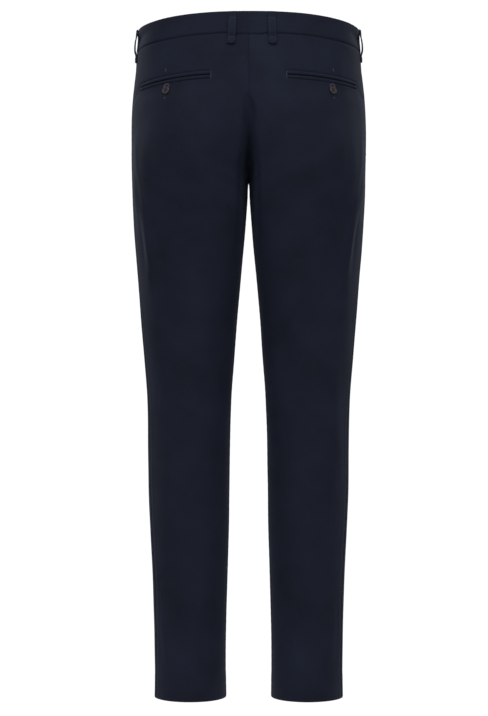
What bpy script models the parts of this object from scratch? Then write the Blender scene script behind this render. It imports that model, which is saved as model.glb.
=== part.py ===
"""Slim chino trousers that keep the form in which they are worn, hollow and open at waist and hems.

Frame: +Z up, the front faces -Y and the wearer's left is +X. The origin is the centre of the
waistband's ring at half its height, where the wearer holds the garment up. Sizes are in
millimetres, and add_object turns them into metres.

The cloth is one smooth surface, place(side, angle, level). Each level is an oval ring: round both
hips at the top, and round one leg below the crotch, so that the two legs' rings meet in the seat
seam where they cross the plane X = 0. Angle is 0 at the side, +90 degrees at the back and -90 at
the front. Every piece is a patch of this surface with a wall behind it.
"""

import math
from collections import namedtuple

import bmesh
import bpy
import numpy as np

MM = 0.001

# ---- Driving dimensions ---------------------------------------------------------------------

CLOTH = 1.4                 # wall of one layer of twill
HEM_CLOTH = 2.4             # wall where the hem is turned up
HEM_TURN = 35.0             # depth of the turned hem
SEAM_GAP = 0.3              # distance between two pieces at a seam
LAID_GAP = 0.45             # distance to a piece laid on a panel, whose flat facets sag a little
UNDER_GAP = 1.1             # distance to a piece sewn in behind a panel

WAISTBAND_TOP = 16.0
WAIST_SEAM = -17.0
CROTCH = -219.0
HEM = -1017.0

WAIST_SLOPE = 0.02          # the waist's rise from front to back, for each mm of depth
WAIST_CURVE = 0.00104       # and for each mm of depth squared
WAIST_TILT = 0.0019         # the left side hangs a little lower than the right
BAND_WALL = 3.0             # waistband: two layers and the stiffening between them
BAND_PROUD = 0.8            # how far the waistband stands out of the panels
BAND_LAP = BAND_WALL + 0.5  # how far the left end stands out where it laps over the right end
LAP_LEFT = 16.0             # how far the left end passes the centre front
LAP_RIGHT = 18.0            # how far the right end passes it, underneath

LOOP_WIDTH = 11.8
LOOP_CLOTH = 1.2
LOOP_END = 8.0              # length of the folded end that is sewn down
LOOP_END_CLOTH = 2.2
LOOP_BOTTOM = -35.0
LOOP_TOP = 15.6

POCKET_LEVEL = -76.0        # the slit between the two welts of a back pocket
WELT_HEIGHT = 5.2
WELT_SLIT = 0.7
WELT_CLOTH = 1.3
WELT_INNER_ANGLE = 64.8
WELT_OUTER_ANGLE = 18.5
WELT_DROP = {"left": 3.6, "right": 1.2}     # the outer end hangs lower than the inner one

BUTTON_ANGLE = {"left": 40.3, "right": 39.3}
BUTTON_LEVEL = -92.5
BUTTON_WIDTH = 12.0
WAIST_BUTTON_WIDTH = 16.0
BUTTON_HEIGHT = 2.6

SLANT_BOTTOM = -182.0       # lower end of the slanted front pocket
SLANT_WIDTH = 15.0          # degrees between the side seam and the pocket's upper end
FACING_UNDER = 4.0          # degrees by which the facing runs on under the front

FLY_WIDTH = 34.0
FLY_LAP = 5.0
FLY_STRAIGHT_END = -128.0
FLY_BOTTOM = -163.0
ZIP_WIDTH = 26.0
ZIP_CLOTH = 1.0
ZIP_BOTTOM = -146.0

# One row for each ring of the garment, from the waist down. outer and inner are the ring's two
# ends in X. Above the crotch the inner end lies past the centre, so the ring is cut off there.
Section = namedtuple("Section", "level outer inner_front inner_back front back squareness")
SECTIONS = (
    (30, 171.0, -171.0, -171.0, 111, 114, 2.40),    # just over the waistband
    (16, 171.3, -171.3, -171.3, 111, 115, 2.40),
    (-17, 173.3, -173.3, -173.3, 113, 118, 2.40),   # waist seam
    (-45, 174.9, -174.9, -174.9, 115, 122, 2.35),
    (-65, 177.4, -177.4, -177.4, 116, 125, 2.30),
    (-85, 179.6, -179.6, -179.6, 117, 128, 2.25),
    (-105, 181.0, -181.0, -135.0, 117, 130, 2.22),
    (-125, 181.8, -181.8, -99.0, 117, 131, 2.20),
    (-145, 182.0, -150.0, -67.0, 116, 131, 2.20),
    (-165, 181.8, -86.0, -36.0, 114, 129, 2.18),
    (-185, 181.5, -35.0, -15.0, 112.3, 126.0, 2.15),
    (-200, 181.2, -12.5, -4.9, 110.8, 122.9, 2.13),
    (-211, 181.0, -3.4, -0.8, 109.6, 120.3, 2.11),
    (-219, 180.9, 0.0, 0.0, 108.5, 118.1, 2.10),    # crotch
    (-245, 180.3, 1.9, 1.9, 105.0, 110.9, 2.08),
    (-277, 178.6, 4.4, 4.4, 100.5, 102.0, 2.05),
    (-308, 176.6, 7.2, 7.2, 96.6, 95.0, 2.02),
    (-370, 171.8, 12.7, 12.7, 90, 85, 2.00),
    (-432, 167.2, 18.3, 18.3, 84, 77, 2.00),
    (-494, 162.4, 22.5, 22.5, 79, 71, 2.00),
    (-556, 157.6, 27.2, 27.2, 73, 67, 2.00),
    (-600, 156.5, 28.8, 28.8, 69, 65, 2.00),        # knee
    (-680, 155.8, 29.8, 29.8, 62, 66, 2.00),
    (-760, 152.6, 31.0, 31.0, 58, 61, 2.00),
    (-850, 148.6, 33.6, 33.6, 55, 55, 2.00),
    (-930, 146.4, 35.4, 35.4, 55, 56, 2.00),
    (-980, 145.9, 35.6, 35.6, 57, 59.5, 2.00),
    (-1017, 146.2, 35.2, 35.2, 58, 62, 2.00),
)

# Behind, the cloth runs on nearly flat towards the seat seam and the inseam and turns in tightly
# there: the squareness of a ring's inner back quarter, and by how much and how near to the ring's
# end it stands out further.
Corner = namedtuple("Corner", "level squareness full reach")
CORNERS = (
    (-105, 2.22, 0.0, 7.0),
    (-125, 2.30, 0.4, 7.0),
    (-145, 2.50, 1.6, 7.0),
    (-165, 2.90, 4.0, 7.0),
    (-185, 3.30, 7.0, 7.2),
    (-200, 3.60, 9.4, 7.5),
    (-219, 3.80, 11.8, 7.5),
    (-245, 3.60, 12.0, 8.0),
    (-277, 3.20, 10.6, 8.3),
    (-308, 2.80, 8.4, 8.6),
    (-370, 2.30, 3.2, 9.0),
    (-480, 2.00, 0.0, 9.0),
)

# The side seam's angle: at the side of the hip, and a little behind it down the leg.
SeamPoint = namedtuple("SeamPoint", "level angle")
SIDE_SEAM = (
    (30, 0.0),
    (-120, 0.0),
    (-250, 5.0),
    (-430, 15.0),
    (-600, 21.0),
    (-1017, 22.0),
)

# The folds that the cloth hangs in. Each runs from its top to its bottom level through three
# angles. Width is the half-width across it, and height is out of the cloth, or into it below zero.
Fold = namedtuple("Fold", "legs top bottom angle_top angle_mid angle_bottom width height")
FOLDS = (
    ("both", -120, -440, 6, 39, 46, 13, 4.2),         # from the hip to the back of the thigh
    ("both", -190, -470, 34, 60, 66, 20, -3.6),       # the hollow behind that ridge
    ("left", -560, -1040, 118, 112, 108, 18, 2.4),    # down the calf, inner side
    ("right", -640, -1040, 104, 108, 110, 18, 2.4),
    ("left", -330, -640, 150, 128, 108, 20, -2.4),    # from the inner thigh to the knee's back
    ("right", -300, -640, 158, 122, 92, 22, -3.0),
    ("right", -420, -760, 62, 54, 50, 16, 2.2),
    ("left", -500, -880, 70, 64, 58, 17, 2.0),
    ("both", -175, -420, -120, -84, -58, 16, 3.0),    # front, from the crotch to the thigh
    ("both", -215, -520, -150, -116, -92, 18, -2.6),
    ("both", -470, -760, -128, -98, -74, 20, 2.6),    # across the knee
    ("both", -800, -1000, -60, -92, -124, 15, 2.4),   # above the shoe
    ("both", -880, -1030, -118, -96, -80, 12, -2.0),
)

COLOURS = {
    "twill": (0.0130, 0.0165, 0.0300, 1.0),
    "zip_tape": (0.0110, 0.0130, 0.0220, 1.0),
    "horn_button": (0.0560, 0.0420, 0.0320, 1.0),
}
ROUGHNESS = {"twill": 0.88, "zip_tape": 0.8, "horn_button": 0.38}


# ---- The surface of the cloth ---------------------------------------------------------------

def read(table, columns, name, level):
    """A column of a table at any level: a cubic through its rows that never overshoots them."""
    rows = sorted(columns(*row) for row in table)
    x = np.array([row.level for row in rows], float)
    y = np.array([getattr(row, name) for row in rows], float)
    step = np.diff(x)
    slope = np.diff(y) / step
    tangent = np.zeros_like(y)
    same_way = slope[:-1] * slope[1:] > 0
    before = 2 * step[1:] + step[:-1]
    after = step[1:] + 2 * step[:-1]
    with np.errstate(divide="ignore", invalid="ignore"):
        mean = (before + after) / (before / slope[:-1] + after / slope[1:])
    tangent[1:-1] = np.where(same_way, mean, 0.0)
    tangent[0], tangent[-1] = slope[0], slope[-1]
    level = np.clip(np.asarray(level, float), x[0], x[-1])
    i = np.clip(np.searchsorted(x, level) - 1, 0, len(x) - 2)
    t = (level - x[i]) / step[i]
    return (
        (1 + 2 * t) * (1 - t) ** 2 * y[i]
        + t * (1 - t) ** 2 * step[i] * tangent[i]
        + t * t * (3 - 2 * t) * y[i + 1]
        + t * t * (t - 1) * step[i] * tangent[i + 1]
    )


def ring(name, level):
    return read(SECTIONS, Section, name, level)


def ease(value, start, end):
    """0 before start and 1 after end, with a smooth rise between."""
    t = np.clip((value - start) / (end - start), 0, 1)
    return t * t * (3 - 2 * t)


def seam_angle(level):
    return np.radians(read(SIDE_SEAM, SeamPoint, "angle", level))


def oval(angle, level):
    """Centre, half-width, depth and squareness of the ring, whose front and back halves differ."""
    back = angle > 0
    outer = ring("outer", level)
    inner = np.where(back, ring("inner_back", level), ring("inner_front", level))
    depth = np.where(back, ring("back", level), ring("front", level))
    corner = read(CORNERS, Corner, "squareness", level)
    power = np.where(angle > math.pi / 2, corner, ring("squareness", level))
    power = np.where(level > -105.0, ring("squareness", level), power)
    return (outer + inner) / 2, (outer - inner) / 2, depth, power


def centre_angle(level, back):
    """Angle at which a ring meets the plane X = 0, or the inseam's angle below the crotch."""
    sign = 1.0 if back else -1.0
    centre, half, depth, power = oval(np.full(np.shape(level), sign * math.pi), level)
    share = np.clip(centre / half, 0, 1)
    y = depth * (1 - share**power) ** (1 / power)
    return sign * np.arctan2(y, -centre)


def fold_height(leg, angle, level, radius):
    """Sum of the folds at a point: each is a soft ridge or hollow that fades out at both ends."""
    total = np.zeros(np.broadcast(angle, level).shape)
    for fold in (Fold(*row) for row in FOLDS):
        if fold.legs not in ("both", leg):
            continue
        t = np.clip((level - fold.top) / (fold.bottom - fold.top), 0, 1)
        path = fold.angle_top * (1 - t) * (1 - 2 * t) + fold.angle_bottom * t * (2 * t - 1)
        path += 4 * fold.angle_mid * t * (1 - t)
        across = np.radians(np.degrees(angle) - path) * radius / fold.width
        total += fold.height * np.sin(np.pi * t) ** 2 * np.exp(-across * across)
    return total


def rise(x, y, level):
    """The waist stands higher at the back than at the front. This fades out down to the seat."""
    fade = ease(level, -165.0, WAIST_SEAM)
    return (WAIST_SLOPE * y + np.sign(y) * WAIST_CURVE * y * y - WAIST_TILT * x) * fade


def place(leg, angle, level):
    """A point of the cloth's outer face, on the wearer's left or, mirrored, on the right."""
    angle, level = np.broadcast_arrays(np.asarray(angle, float), np.asarray(level, float))
    centre, half, depth, power = oval(angle, level)
    c, s = np.cos(angle), np.sin(angle)
    radius = (np.abs(c / half) ** power + np.abs(s / depth) ** power) ** (-1 / power)
    x, y = centre + radius * c, radius * s
    nx = np.sign(c) * np.abs(radius * c / half) ** (power - 1) / half
    ny = np.sign(s) * np.abs(y / depth) ** (power - 1) / depth
    out = fold_height(leg, angle, level, radius) / np.hypot(nx, ny)
    out *= ease(np.abs(x), 0.0, 18.0)
    past = np.maximum(x - np.maximum(centre - half, 0.0), 0.0) / read(CORNERS, Corner, "reach", level)
    y = y + read(CORNERS, Corner, "full", level) * (angle > 0) * past * np.exp(1 - past)
    x, y = x + out * nx, y + out * ny
    x = x if leg == "left" else -x
    return np.stack([x, y, level + rise(x, y, level)], axis=-1)


def outward(leg, angle, level):
    """Unit normal of the cloth, from small steps along the surface."""
    step_angle, step_level = 0.01, 1.0
    along = place(leg, angle + step_angle, level) - place(leg, angle - step_angle, level)
    up = place(leg, angle, level + step_level) - place(leg, angle, level - step_level)
    normal = np.cross(along, up)
    normal /= np.linalg.norm(normal, axis=-1, keepdims=True)
    return normal if leg == "left" else -normal


def moved_out(leg, angle, level, out):
    """The surface moved out by a distance, or in where it is below zero."""
    out = np.asarray(out, float)[..., None]
    return place(leg, angle, level) + out * outward(leg, angle, level)


# ---- Solids ---------------------------------------------------------------------------------

def material(name):
    found = bpy.data.materials.get(name)
    if found:
        return found
    made = bpy.data.materials.new(name)
    made.use_nodes = True
    shader = made.node_tree.nodes["Principled BSDF"]
    shader.inputs["Base Color"].default_value = COLOURS[name]
    shader.inputs["Roughness"].default_value = ROUGHNESS[name]
    return made


def add_object(name, points, faces, finish):
    """One closed solid, its faces turned outwards."""
    mesh = bpy.data.meshes.new(name)
    mesh.from_pydata((np.reshape(points, (-1, 3)) * MM).tolist(), [], faces)
    shape = bmesh.new()
    shape.from_mesh(mesh)
    bmesh.ops.recalc_face_normals(shape, faces=shape.faces)
    if shape.calc_volume(signed=True) < 0:
        bmesh.ops.reverse_faces(shape, faces=shape.faces)
    shape.to_mesh(mesh)
    shape.free()
    mesh.shade_smooth()
    mesh.set_sharp_from_angle(angle=math.radians(40))
    mesh.materials.append(material(finish))
    made = bpy.data.objects.new(name, mesh)
    bpy.context.scene.collection.objects.link(made)
    return made


def wall(name, outer, inner, finish="twill"):
    """A sheet with thickness: two grids of the same rows and columns, joined round their edges."""
    rows, columns = outer.shape[:2]
    front = np.arange(rows * columns).reshape(rows, columns)
    back = front + rows * columns
    corners = (front[:-1, :-1], front[:-1, 1:], front[1:, 1:], front[1:, :-1])
    faces = np.stack(corners, axis=-1).reshape(-1, 4).tolist()
    corners = (back[:-1, :-1], back[1:, :-1], back[1:, 1:], back[:-1, 1:])
    faces += np.stack(corners, axis=-1).reshape(-1, 4).tolist()
    edge = np.concatenate([front[0, :-1], front[:-1, -1], front[-1, :0:-1], front[:0:-1, 0]])
    after = np.roll(edge, -1)
    behind = rows * columns
    faces += np.stack([edge, edge + behind, after + behind, after], axis=-1).tolist()
    return add_object(name, np.concatenate([outer.reshape(-1, 3), inner.reshape(-1, 3)]), faces, finish)


def tube(name, loops, finish="twill"):
    """Closed outlines of the same number of points, one after another, with a face at each end."""
    count, around = loops.shape[:2]
    index = np.arange(count * around).reshape(count, around)
    beside = np.roll(index, -1, axis=1)
    corners = (index[:-1], beside[:-1], beside[1:], index[1:])
    faces = np.stack(corners, axis=-1).reshape(-1, 4).tolist()
    faces += [index[0, ::-1].tolist(), index[-1].tolist()]
    return add_object(name, loops, faces, finish)


# ---- Panels ---------------------------------------------------------------------------------

TORSO_ROWS = 15
LEG_ROWS = 28
ACROSS_BACK = 12
ACROSS_FRONT = 11


def centre_levels(back):
    """Levels down the seat seam or the front seam, evenly spaced along its curve."""
    level = CROTCH + (WAIST_SEAM - CROTCH) * np.linspace(1, 0, 400) ** 2
    ends = place("left", centre_angle(level, back), level)
    length = np.concatenate([[0], np.cumsum(np.linalg.norm(np.diff(ends, axis=0), axis=1))])
    return np.interp(np.linspace(0, length[-1], TORSO_ROWS + 1), length, level)


def panel_levels(across, back):
    """Levels of a panel's grid. Rows run level in the leg, and bend with the centre seam above."""
    top = WAIST_SEAM - SEAM_GAP / 2
    at_side = np.linspace(top, CROTCH, TORSO_ROWS + 1)
    at_centre = centre_levels(back)
    at_centre[0] = top
    toward_centre = across**2
    torso = at_side[:, None] + (at_centre - at_side)[:, None] * toward_centre
    leg = CROTCH + (HEM + HEM_TURN - CROTCH) * np.linspace(0, 1, LEG_ROWS + 1)[1:] ** 1.15
    leg = np.concatenate([leg, [HEM + HEM_TURN - 1.5, HEM]])
    return np.concatenate([torso, np.repeat(leg[:, None], len(across), axis=1)])


def pocket_edge(level):
    """Angle of the slanted front pocket's mouth, which runs down into the side seam."""
    open_part = ease(level, SLANT_BOTTOM, WAIST_SEAM)
    straight = np.clip((level - SLANT_BOTTOM) / (WAIST_SEAM - SLANT_BOTTOM), 0, 1)
    return seam_angle(level) - np.radians(SLANT_WIDTH) * (0.75 * straight + 0.25 * open_part)


def kept_off_centre(points, leg):
    """Points at the centre seam moved half a seam gap off the plane X = 0."""
    sign = 1.0 if leg == "left" else -1.0
    points[..., 0] = sign * np.maximum(sign * points[..., 0], SEAM_GAP / 2)
    return points


def panel(name, leg, back):
    """A back or front panel, from waist to hem, between the side seam and the centre or inseam.

    The centre's angle changes suddenly at the crotch. The columns follow its mean over a stretch of
    the seam, and only the last of them turn to the seam itself.
    """
    across = np.linspace(0, 1, (ACROSS_BACK if back else ACROSS_FRONT) + 1)
    level = panel_levels(across, back)
    sign = 1.0 if back else -1.0
    half_gap = sign * SEAM_GAP / 2 / oval(np.full(level.shape, sign), level)[1]
    start = (seam_angle(level) if back else pocket_edge(level)) + half_gap
    end = centre_angle(level, back)
    end = np.where(level <= CROTCH, end - half_gap, end)
    near = np.mean([centre_angle(level + step, back) for step in np.linspace(-24, 24, 9)], axis=0)
    angle = start + (near - start) * across + (end - near) * across**8
    thickness = np.where(level < HEM + HEM_TURN - 1.0, HEM_CLOTH, CLOTH)
    outer = kept_off_centre(place(leg, angle, level), leg)
    inner = kept_off_centre(moved_out(leg, angle, level, -thickness), leg)
    return wall(name, outer, inner)


def pocket_facing(name, leg):
    """The cloth that shows in the slanted front pocket, one layer in behind the pocket's edge."""
    level = np.linspace(WAIST_SEAM - SEAM_GAP / 2, SLANT_BOTTOM, 13)[:, None]
    seam = seam_angle(level) - 0.7 * SEAM_GAP / ring("outer", level)
    edge = pocket_edge(level)
    across = np.array([0.0, 0.3, 0.65, 1.0, 2.0])
    hidden = edge - np.radians(FACING_UNDER)
    angle = np.where(across <= 1, seam + (edge - seam) * across, hidden)
    step = CLOTH + UNDER_GAP
    shown = np.clip(np.degrees(seam - edge) / 3.0, 0, 1)
    out = -step + (step - 0.2) * (1 - ease(across, 0.0, 1.0)) * shown
    outer = moved_out(leg, angle, level, out)
    inner = moved_out(leg, angle, level, out - CLOTH)
    return wall(name, outer, inner)


# ---- Waistband, belt loops and fly ----------------------------------------------------------

def lap(angle, leg):
    """How far the waistband's left end stands out, to lap over the right end."""
    if leg == "right":
        return np.zeros_like(angle)
    return BAND_LAP * (1 - ease(np.degrees(angle), -80.0, -66.0))


def waistband(name, leg):
    """Half of the waistband, from the centre back to its end past the centre front."""
    past = LAP_LEFT if leg == "left" else LAP_RIGHT
    front_end = -math.pi / 2 - past / float(ring("front", 0.0))
    angle = np.linspace(math.pi / 2, front_end, 31)
    bottom = WAIST_SEAM + SEAM_GAP
    face, back = BAND_PROUD, BAND_PROUD - BAND_WALL
    profile = np.array([
        (face - 0.3, bottom), (face, bottom + 2.5), (face + 0.2, 0.0), (face, WAISTBAND_TOP - 2.0),
        (face - 0.8, WAISTBAND_TOP - 0.3), (back + 0.8, WAISTBAND_TOP - 0.3),
        (back, WAISTBAND_TOP - 2.0), (back, 0.0), (back, bottom),
    ])
    out = profile[:, 0] + lap(angle, leg)[:, None]
    level = np.broadcast_to(profile[:, 1], out.shape)
    loops = moved_out(leg, angle[:, None], level, out)
    sign = 1.0 if leg == "left" else -1.0
    loops[0, :, 0] = sign * SEAM_GAP / 2
    return tube(name, loops)


def belt_loop(name, leg, angle, lean, gap):
    """A strip of doubled cloth sewn down at both ends, standing off the waistband by the gap."""
    level = np.array([
        LOOP_BOTTOM, LOOP_BOTTOM + LOOP_END - 2, LOOP_BOTTOM + LOOP_END + 1.5, -17.0, -8.0,
        1.0, LOOP_TOP - LOOP_END - 1.0, LOOP_TOP - LOOP_END + 2.5, LOOP_TOP,
    ])
    on_band = ease(level, WAIST_SEAM - 2.0, WAIST_SEAM - 0.3)
    seat = LAID_GAP + (BAND_PROUD + 0.2) * on_band
    middle = (LOOP_BOTTOM + LOOP_TOP) / 2
    span = (LOOP_TOP - LOOP_BOTTOM) / 2 - LOOP_END + 2.5
    bow = np.sqrt(np.clip(1 - ((level - middle) / span) ** 2, 0, 1))
    under = seat + (gap - BAND_PROUD * (1 - on_band)) * bow
    cloth = LOOP_CLOTH + (LOOP_END_CLOTH - LOOP_CLOTH) * (1 - ease(bow, 0.0, 0.5))
    across = np.array([-1.0, -0.8, 0.8, 1.0])
    crown = np.array([-0.35, 0.0, 0.0, -0.35])
    radius = float(np.linalg.norm(place(leg, angle, 0.0)[:2]))
    slant = lean * (level - middle) / (LOOP_TOP - LOOP_BOTTOM)
    turn = angle + (across * LOOP_WIDTH / 2 + slant[:, None]) / radius
    level = level[:, None]
    outer = moved_out(leg, turn, level, (under + cloth)[:, None] + crown)
    inner = moved_out(leg, turn, level, under[:, None] + 0 * crown)
    return wall(name, outer, inner)


def front_angle(x, level):
    """Angle on the front at a distance from the centre, on the ring of that level."""
    centre, half, depth, power = oval(np.full(np.shape(level), -1.0), level)
    share = np.clip(np.abs((x - centre) / half), 0, 1)
    return -np.arctan2(depth * (1 - share**power) ** (1 / power), x - centre)


def across_front(x, level, out):
    """Points on the front on both sides of the centre, moved out of the cloth."""
    angle = front_angle(np.abs(x), level)
    on_left = moved_out("left", angle, level, out)
    on_right = moved_out("right", angle, level, out)
    return np.where((x >= 0)[..., None], on_left, on_right)


def fly_flap(name):
    """The fly's facing on the left front, which laps over the right one and ends in a J."""
    straight = np.linspace(WAIST_SEAM - SEAM_GAP / 2, FLY_STRAIGHT_END, 9)
    turn = np.linspace(0, math.pi / 2 * 0.94, 8)[1:]
    curved = FLY_STRAIGHT_END + (FLY_BOTTOM - FLY_STRAIGHT_END) * np.sin(turn)
    level = np.concatenate([straight, curved])[:, None]
    wide = np.concatenate([np.ones(len(straight)), np.cos(turn)])[:, None]
    across = np.array([0.0, 0.1, 0.45, 0.75, 1.0])
    x = -FLY_LAP + (FLY_WIDTH + FLY_LAP) * wide * across
    level, x = np.broadcast_arrays(level, x)
    edge = np.array([0.3, 0.0, 0.0, 0.0, 0.5])
    outer = across_front(x, level, LAID_GAP + CLOTH - edge + 0 * x)
    inner = across_front(x, level, LAID_GAP + 0 * x)
    return wall(name, outer, inner)


def fly_zip(name):
    """The zip's tapes and closed chain, sewn behind the two fronts' edges."""
    level = np.linspace(WAIST_SEAM - 1.5, ZIP_BOTTOM, 12)[:, None]
    across = np.array([-0.5, -0.1, 0.1, 0.5]) * ZIP_WIDTH
    level, x = np.broadcast_arrays(level, across)
    chain = np.array([0.0, 0.9, 0.9, 0.0])
    behind = -(CLOTH + UNDER_GAP)
    outer = across_front(x, level, behind + 0 * x)
    inner = across_front(x, level, behind - ZIP_CLOTH - chain + 0 * x)
    return wall(name, outer, inner, "zip_tape")


# ---- Back pockets and buttons ---------------------------------------------------------------

def pocket_level(leg, angle):
    """The slit of a back pocket: level at its inner end, and curving down to its outer end."""
    inner, outer = math.radians(WELT_INNER_ANGLE), math.radians(WELT_OUTER_ANGLE)
    return POCKET_LEVEL - WELT_DROP[leg] * np.clip((inner - angle) / (inner - outer), 0, 1) ** 2


def welt(name, leg, upper):
    """One lip of a back pocket: a folded strip along the mouth, rounded over at the slit."""
    toward = 1.0 if upper else -1.0
    angle = np.radians(np.linspace(WELT_OUTER_ANGLE, WELT_INNER_ANGLE, 17))
    depth = np.array([0.0, 0.12, 0.5, 1.0])
    level = pocket_level(leg, angle) + toward * (WELT_SLIT / 2 + WELT_HEIGHT * depth)[:, None]
    angle = np.broadcast_to(angle, level.shape)
    height = np.array([-0.7, 0.0, 0.0, -0.5])
    outer = moved_out(leg, angle, level, LAID_GAP + WELT_CLOTH + height[:, None] + 0 * angle)
    inner = moved_out(leg, angle, level, LAID_GAP + 0 * angle)
    return wall(name, outer, inner)


def button(name, leg, angle, level, out, width):
    """A turned button with a raised rim and a dished middle, its axis square to the cloth."""
    profile = np.array([(0.72, 0.0), (1.0, 0.42), (0.96, 0.8), (0.82, 1.0), (0.66, 0.8), (0.5, 0.6)])
    seat = moved_out(leg, np.array(angle), np.array(level), np.array(out))
    axis = outward(leg, np.array(angle), np.array(level))
    across = np.cross((0.0, 0.0, 1.0), axis)
    across /= np.linalg.norm(across)
    up = np.cross(axis, across)
    turn = np.linspace(0, 2 * math.pi, 24, endpoint=False)[:, None]
    circle = np.cos(turn) * across + np.sin(turn) * up
    radius = profile[:, 0, None, None] * width / 2
    height = profile[:, 1, None, None] * BUTTON_HEIGHT
    return tube(name, seat + radius * circle + height * axis, "horn_button")


# ---- Assembly -------------------------------------------------------------------------------

# Angle is a loop's middle, lean how far its top leans to the front, and gap how far it stands off.
Loop = namedtuple("Loop", "name leg angle lean gap")
LOOPS = (
    ("belt_loop_back_left", "left", 78.6, 3.4, 2.6),
    ("belt_loop_back_right", "right", 73.2, 0.0, 2.6),
    ("belt_loop_side_left", "left", 7.0, 0.0, 3.0),
    ("belt_loop_side_right", "right", 7.0, 0.0, 3.0),
    ("belt_loop_front_left", "left", -48.0, 0.0, 2.6),
    ("belt_loop_front_right", "right", -48.0, 0.0, 2.6),
)


def build():
    for existing in list(bpy.data.objects):
        bpy.data.objects.remove(existing)
    for leg in ("left", "right"):
        panel(f"back_{leg}", leg, back=True)
        panel(f"front_{leg}", leg, back=False)
        pocket_facing(f"front_pocket_facing_{leg}", leg)
        waistband(f"waistband_{leg}", leg)
        welt(f"back_pocket_upper_welt_{leg}", leg, upper=True)
        welt(f"back_pocket_lower_welt_{leg}", leg, upper=False)
        button(
            f"back_pocket_button_{leg}", leg, math.radians(BUTTON_ANGLE[leg]), BUTTON_LEVEL,
            LAID_GAP + 0.1, BUTTON_WIDTH,
        )
    for loop in (Loop(*row) for row in LOOPS):
        belt_loop(loop.name, loop.leg, math.radians(loop.angle), loop.lean, loop.gap)
    fly_flap("fly_flap")
    fly_zip("fly_zip")
    button("waist_button", "left", -math.pi / 2, 0.0, BAND_PROUD + BAND_LAP + 0.6, WAIST_BUTTON_WIDTH)


build()
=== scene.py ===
"""Slim navy chino trousers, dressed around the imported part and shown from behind.

Sizes are in millimetres and angles in degrees unless a line says otherwise, and make() turns them
into metres. +Z is up, the front faces -Y and the wearer's left is +X. The origin is the centre of
the waistband's ring. Level is the height on the cloth, and angle runs round each ring: 0 at the
side, 90 at the back and -90 at the front.
"""

import math

import bpy
import numpy as np
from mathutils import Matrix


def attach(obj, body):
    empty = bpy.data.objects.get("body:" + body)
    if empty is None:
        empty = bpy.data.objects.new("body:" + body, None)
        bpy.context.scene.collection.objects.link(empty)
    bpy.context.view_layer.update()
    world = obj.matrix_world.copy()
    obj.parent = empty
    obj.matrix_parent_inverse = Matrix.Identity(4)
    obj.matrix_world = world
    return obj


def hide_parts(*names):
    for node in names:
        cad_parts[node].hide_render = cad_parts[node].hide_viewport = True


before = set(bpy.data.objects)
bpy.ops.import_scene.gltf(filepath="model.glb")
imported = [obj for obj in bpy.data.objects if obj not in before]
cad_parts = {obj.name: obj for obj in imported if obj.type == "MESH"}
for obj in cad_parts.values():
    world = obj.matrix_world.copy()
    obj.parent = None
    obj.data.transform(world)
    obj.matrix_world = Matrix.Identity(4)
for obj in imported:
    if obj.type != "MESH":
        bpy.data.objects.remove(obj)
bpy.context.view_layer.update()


# ---- Camera ---------------------------------------------------------------------------------
# A long portrait lens on a level head, 3.5 m behind the trousers and as high as the thighs, so
# that the waist curves up and the hems curve down only a little.

CAMERA_PLACE = (0.0072, 3.5, -0.4905)
SENSOR_LONG_SIDE = 36.0
SHOWN_HEIGHT = 1.1141           # metres of the trousers' plane that fill the long side


def put(name, data):
    """An object of some data, linked to the scene."""
    made = bpy.data.objects.new(name, data)
    bpy.context.scene.collection.objects.link(made)
    return made


camera = put("camera", bpy.data.cameras.new("camera"))
camera.data.sensor_width = SENSOR_LONG_SIDE
camera.data.lens = SENSOR_LONG_SIDE * CAMERA_PLACE[1] / SHOWN_HEIGHT
camera.location = CAMERA_PLACE
camera.rotation_euler = (math.pi / 2, 0, math.pi)
bpy.context.scene.camera = camera


# ---- The four leg panels --------------------------------------------------------------------
# Two fronts and two backs in one layer of navy twill, from the waist seam to the hem, joined at
# the side seams, inseams and centre seams. The hem is turned up 35 mm and sewn from inside.
#
# Form: cut slim, in the form in which they are worn. Each level is an oval ring: round both hips
# at the top, and round one leg below the crotch, where the two legs part.

MM = 0.001
SIDE = {"left": 1.0, "right": -1.0}     # each leg's side of the plane X = 0
WAIST_SEAM = -17.0
CROTCH = -219.0
HEM = -1017.0
WAIST_SLOPE = 0.02              # the waist's rise from front to back, for each mm of depth
WAIST_CURVE = 0.00104           # and for each mm of depth squared
WAIST_TILT = 0.0019             # the left side hangs a little lower
RISE_START = -165.0             # level below which the rings stay level
WAIST_SAG = 0.9                 # the cloth's weight draws the waist seam down
BACK_SAG = 2.0                  # and further between the two back belt loops
SAG_REACH = 8.0                 # mm above and below the seam over which the sag fades
GAP_START = 0.7                 # half-width with which the gap between the legs opens
GAP_ROUND = 2.5                 # and how far from the centre it still shows


def table(names, rows):
    """Columns as arrays by their names, from rows that are listed from the top down."""
    return dict(zip(names, np.array(rows[::-1], float).T))


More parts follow.
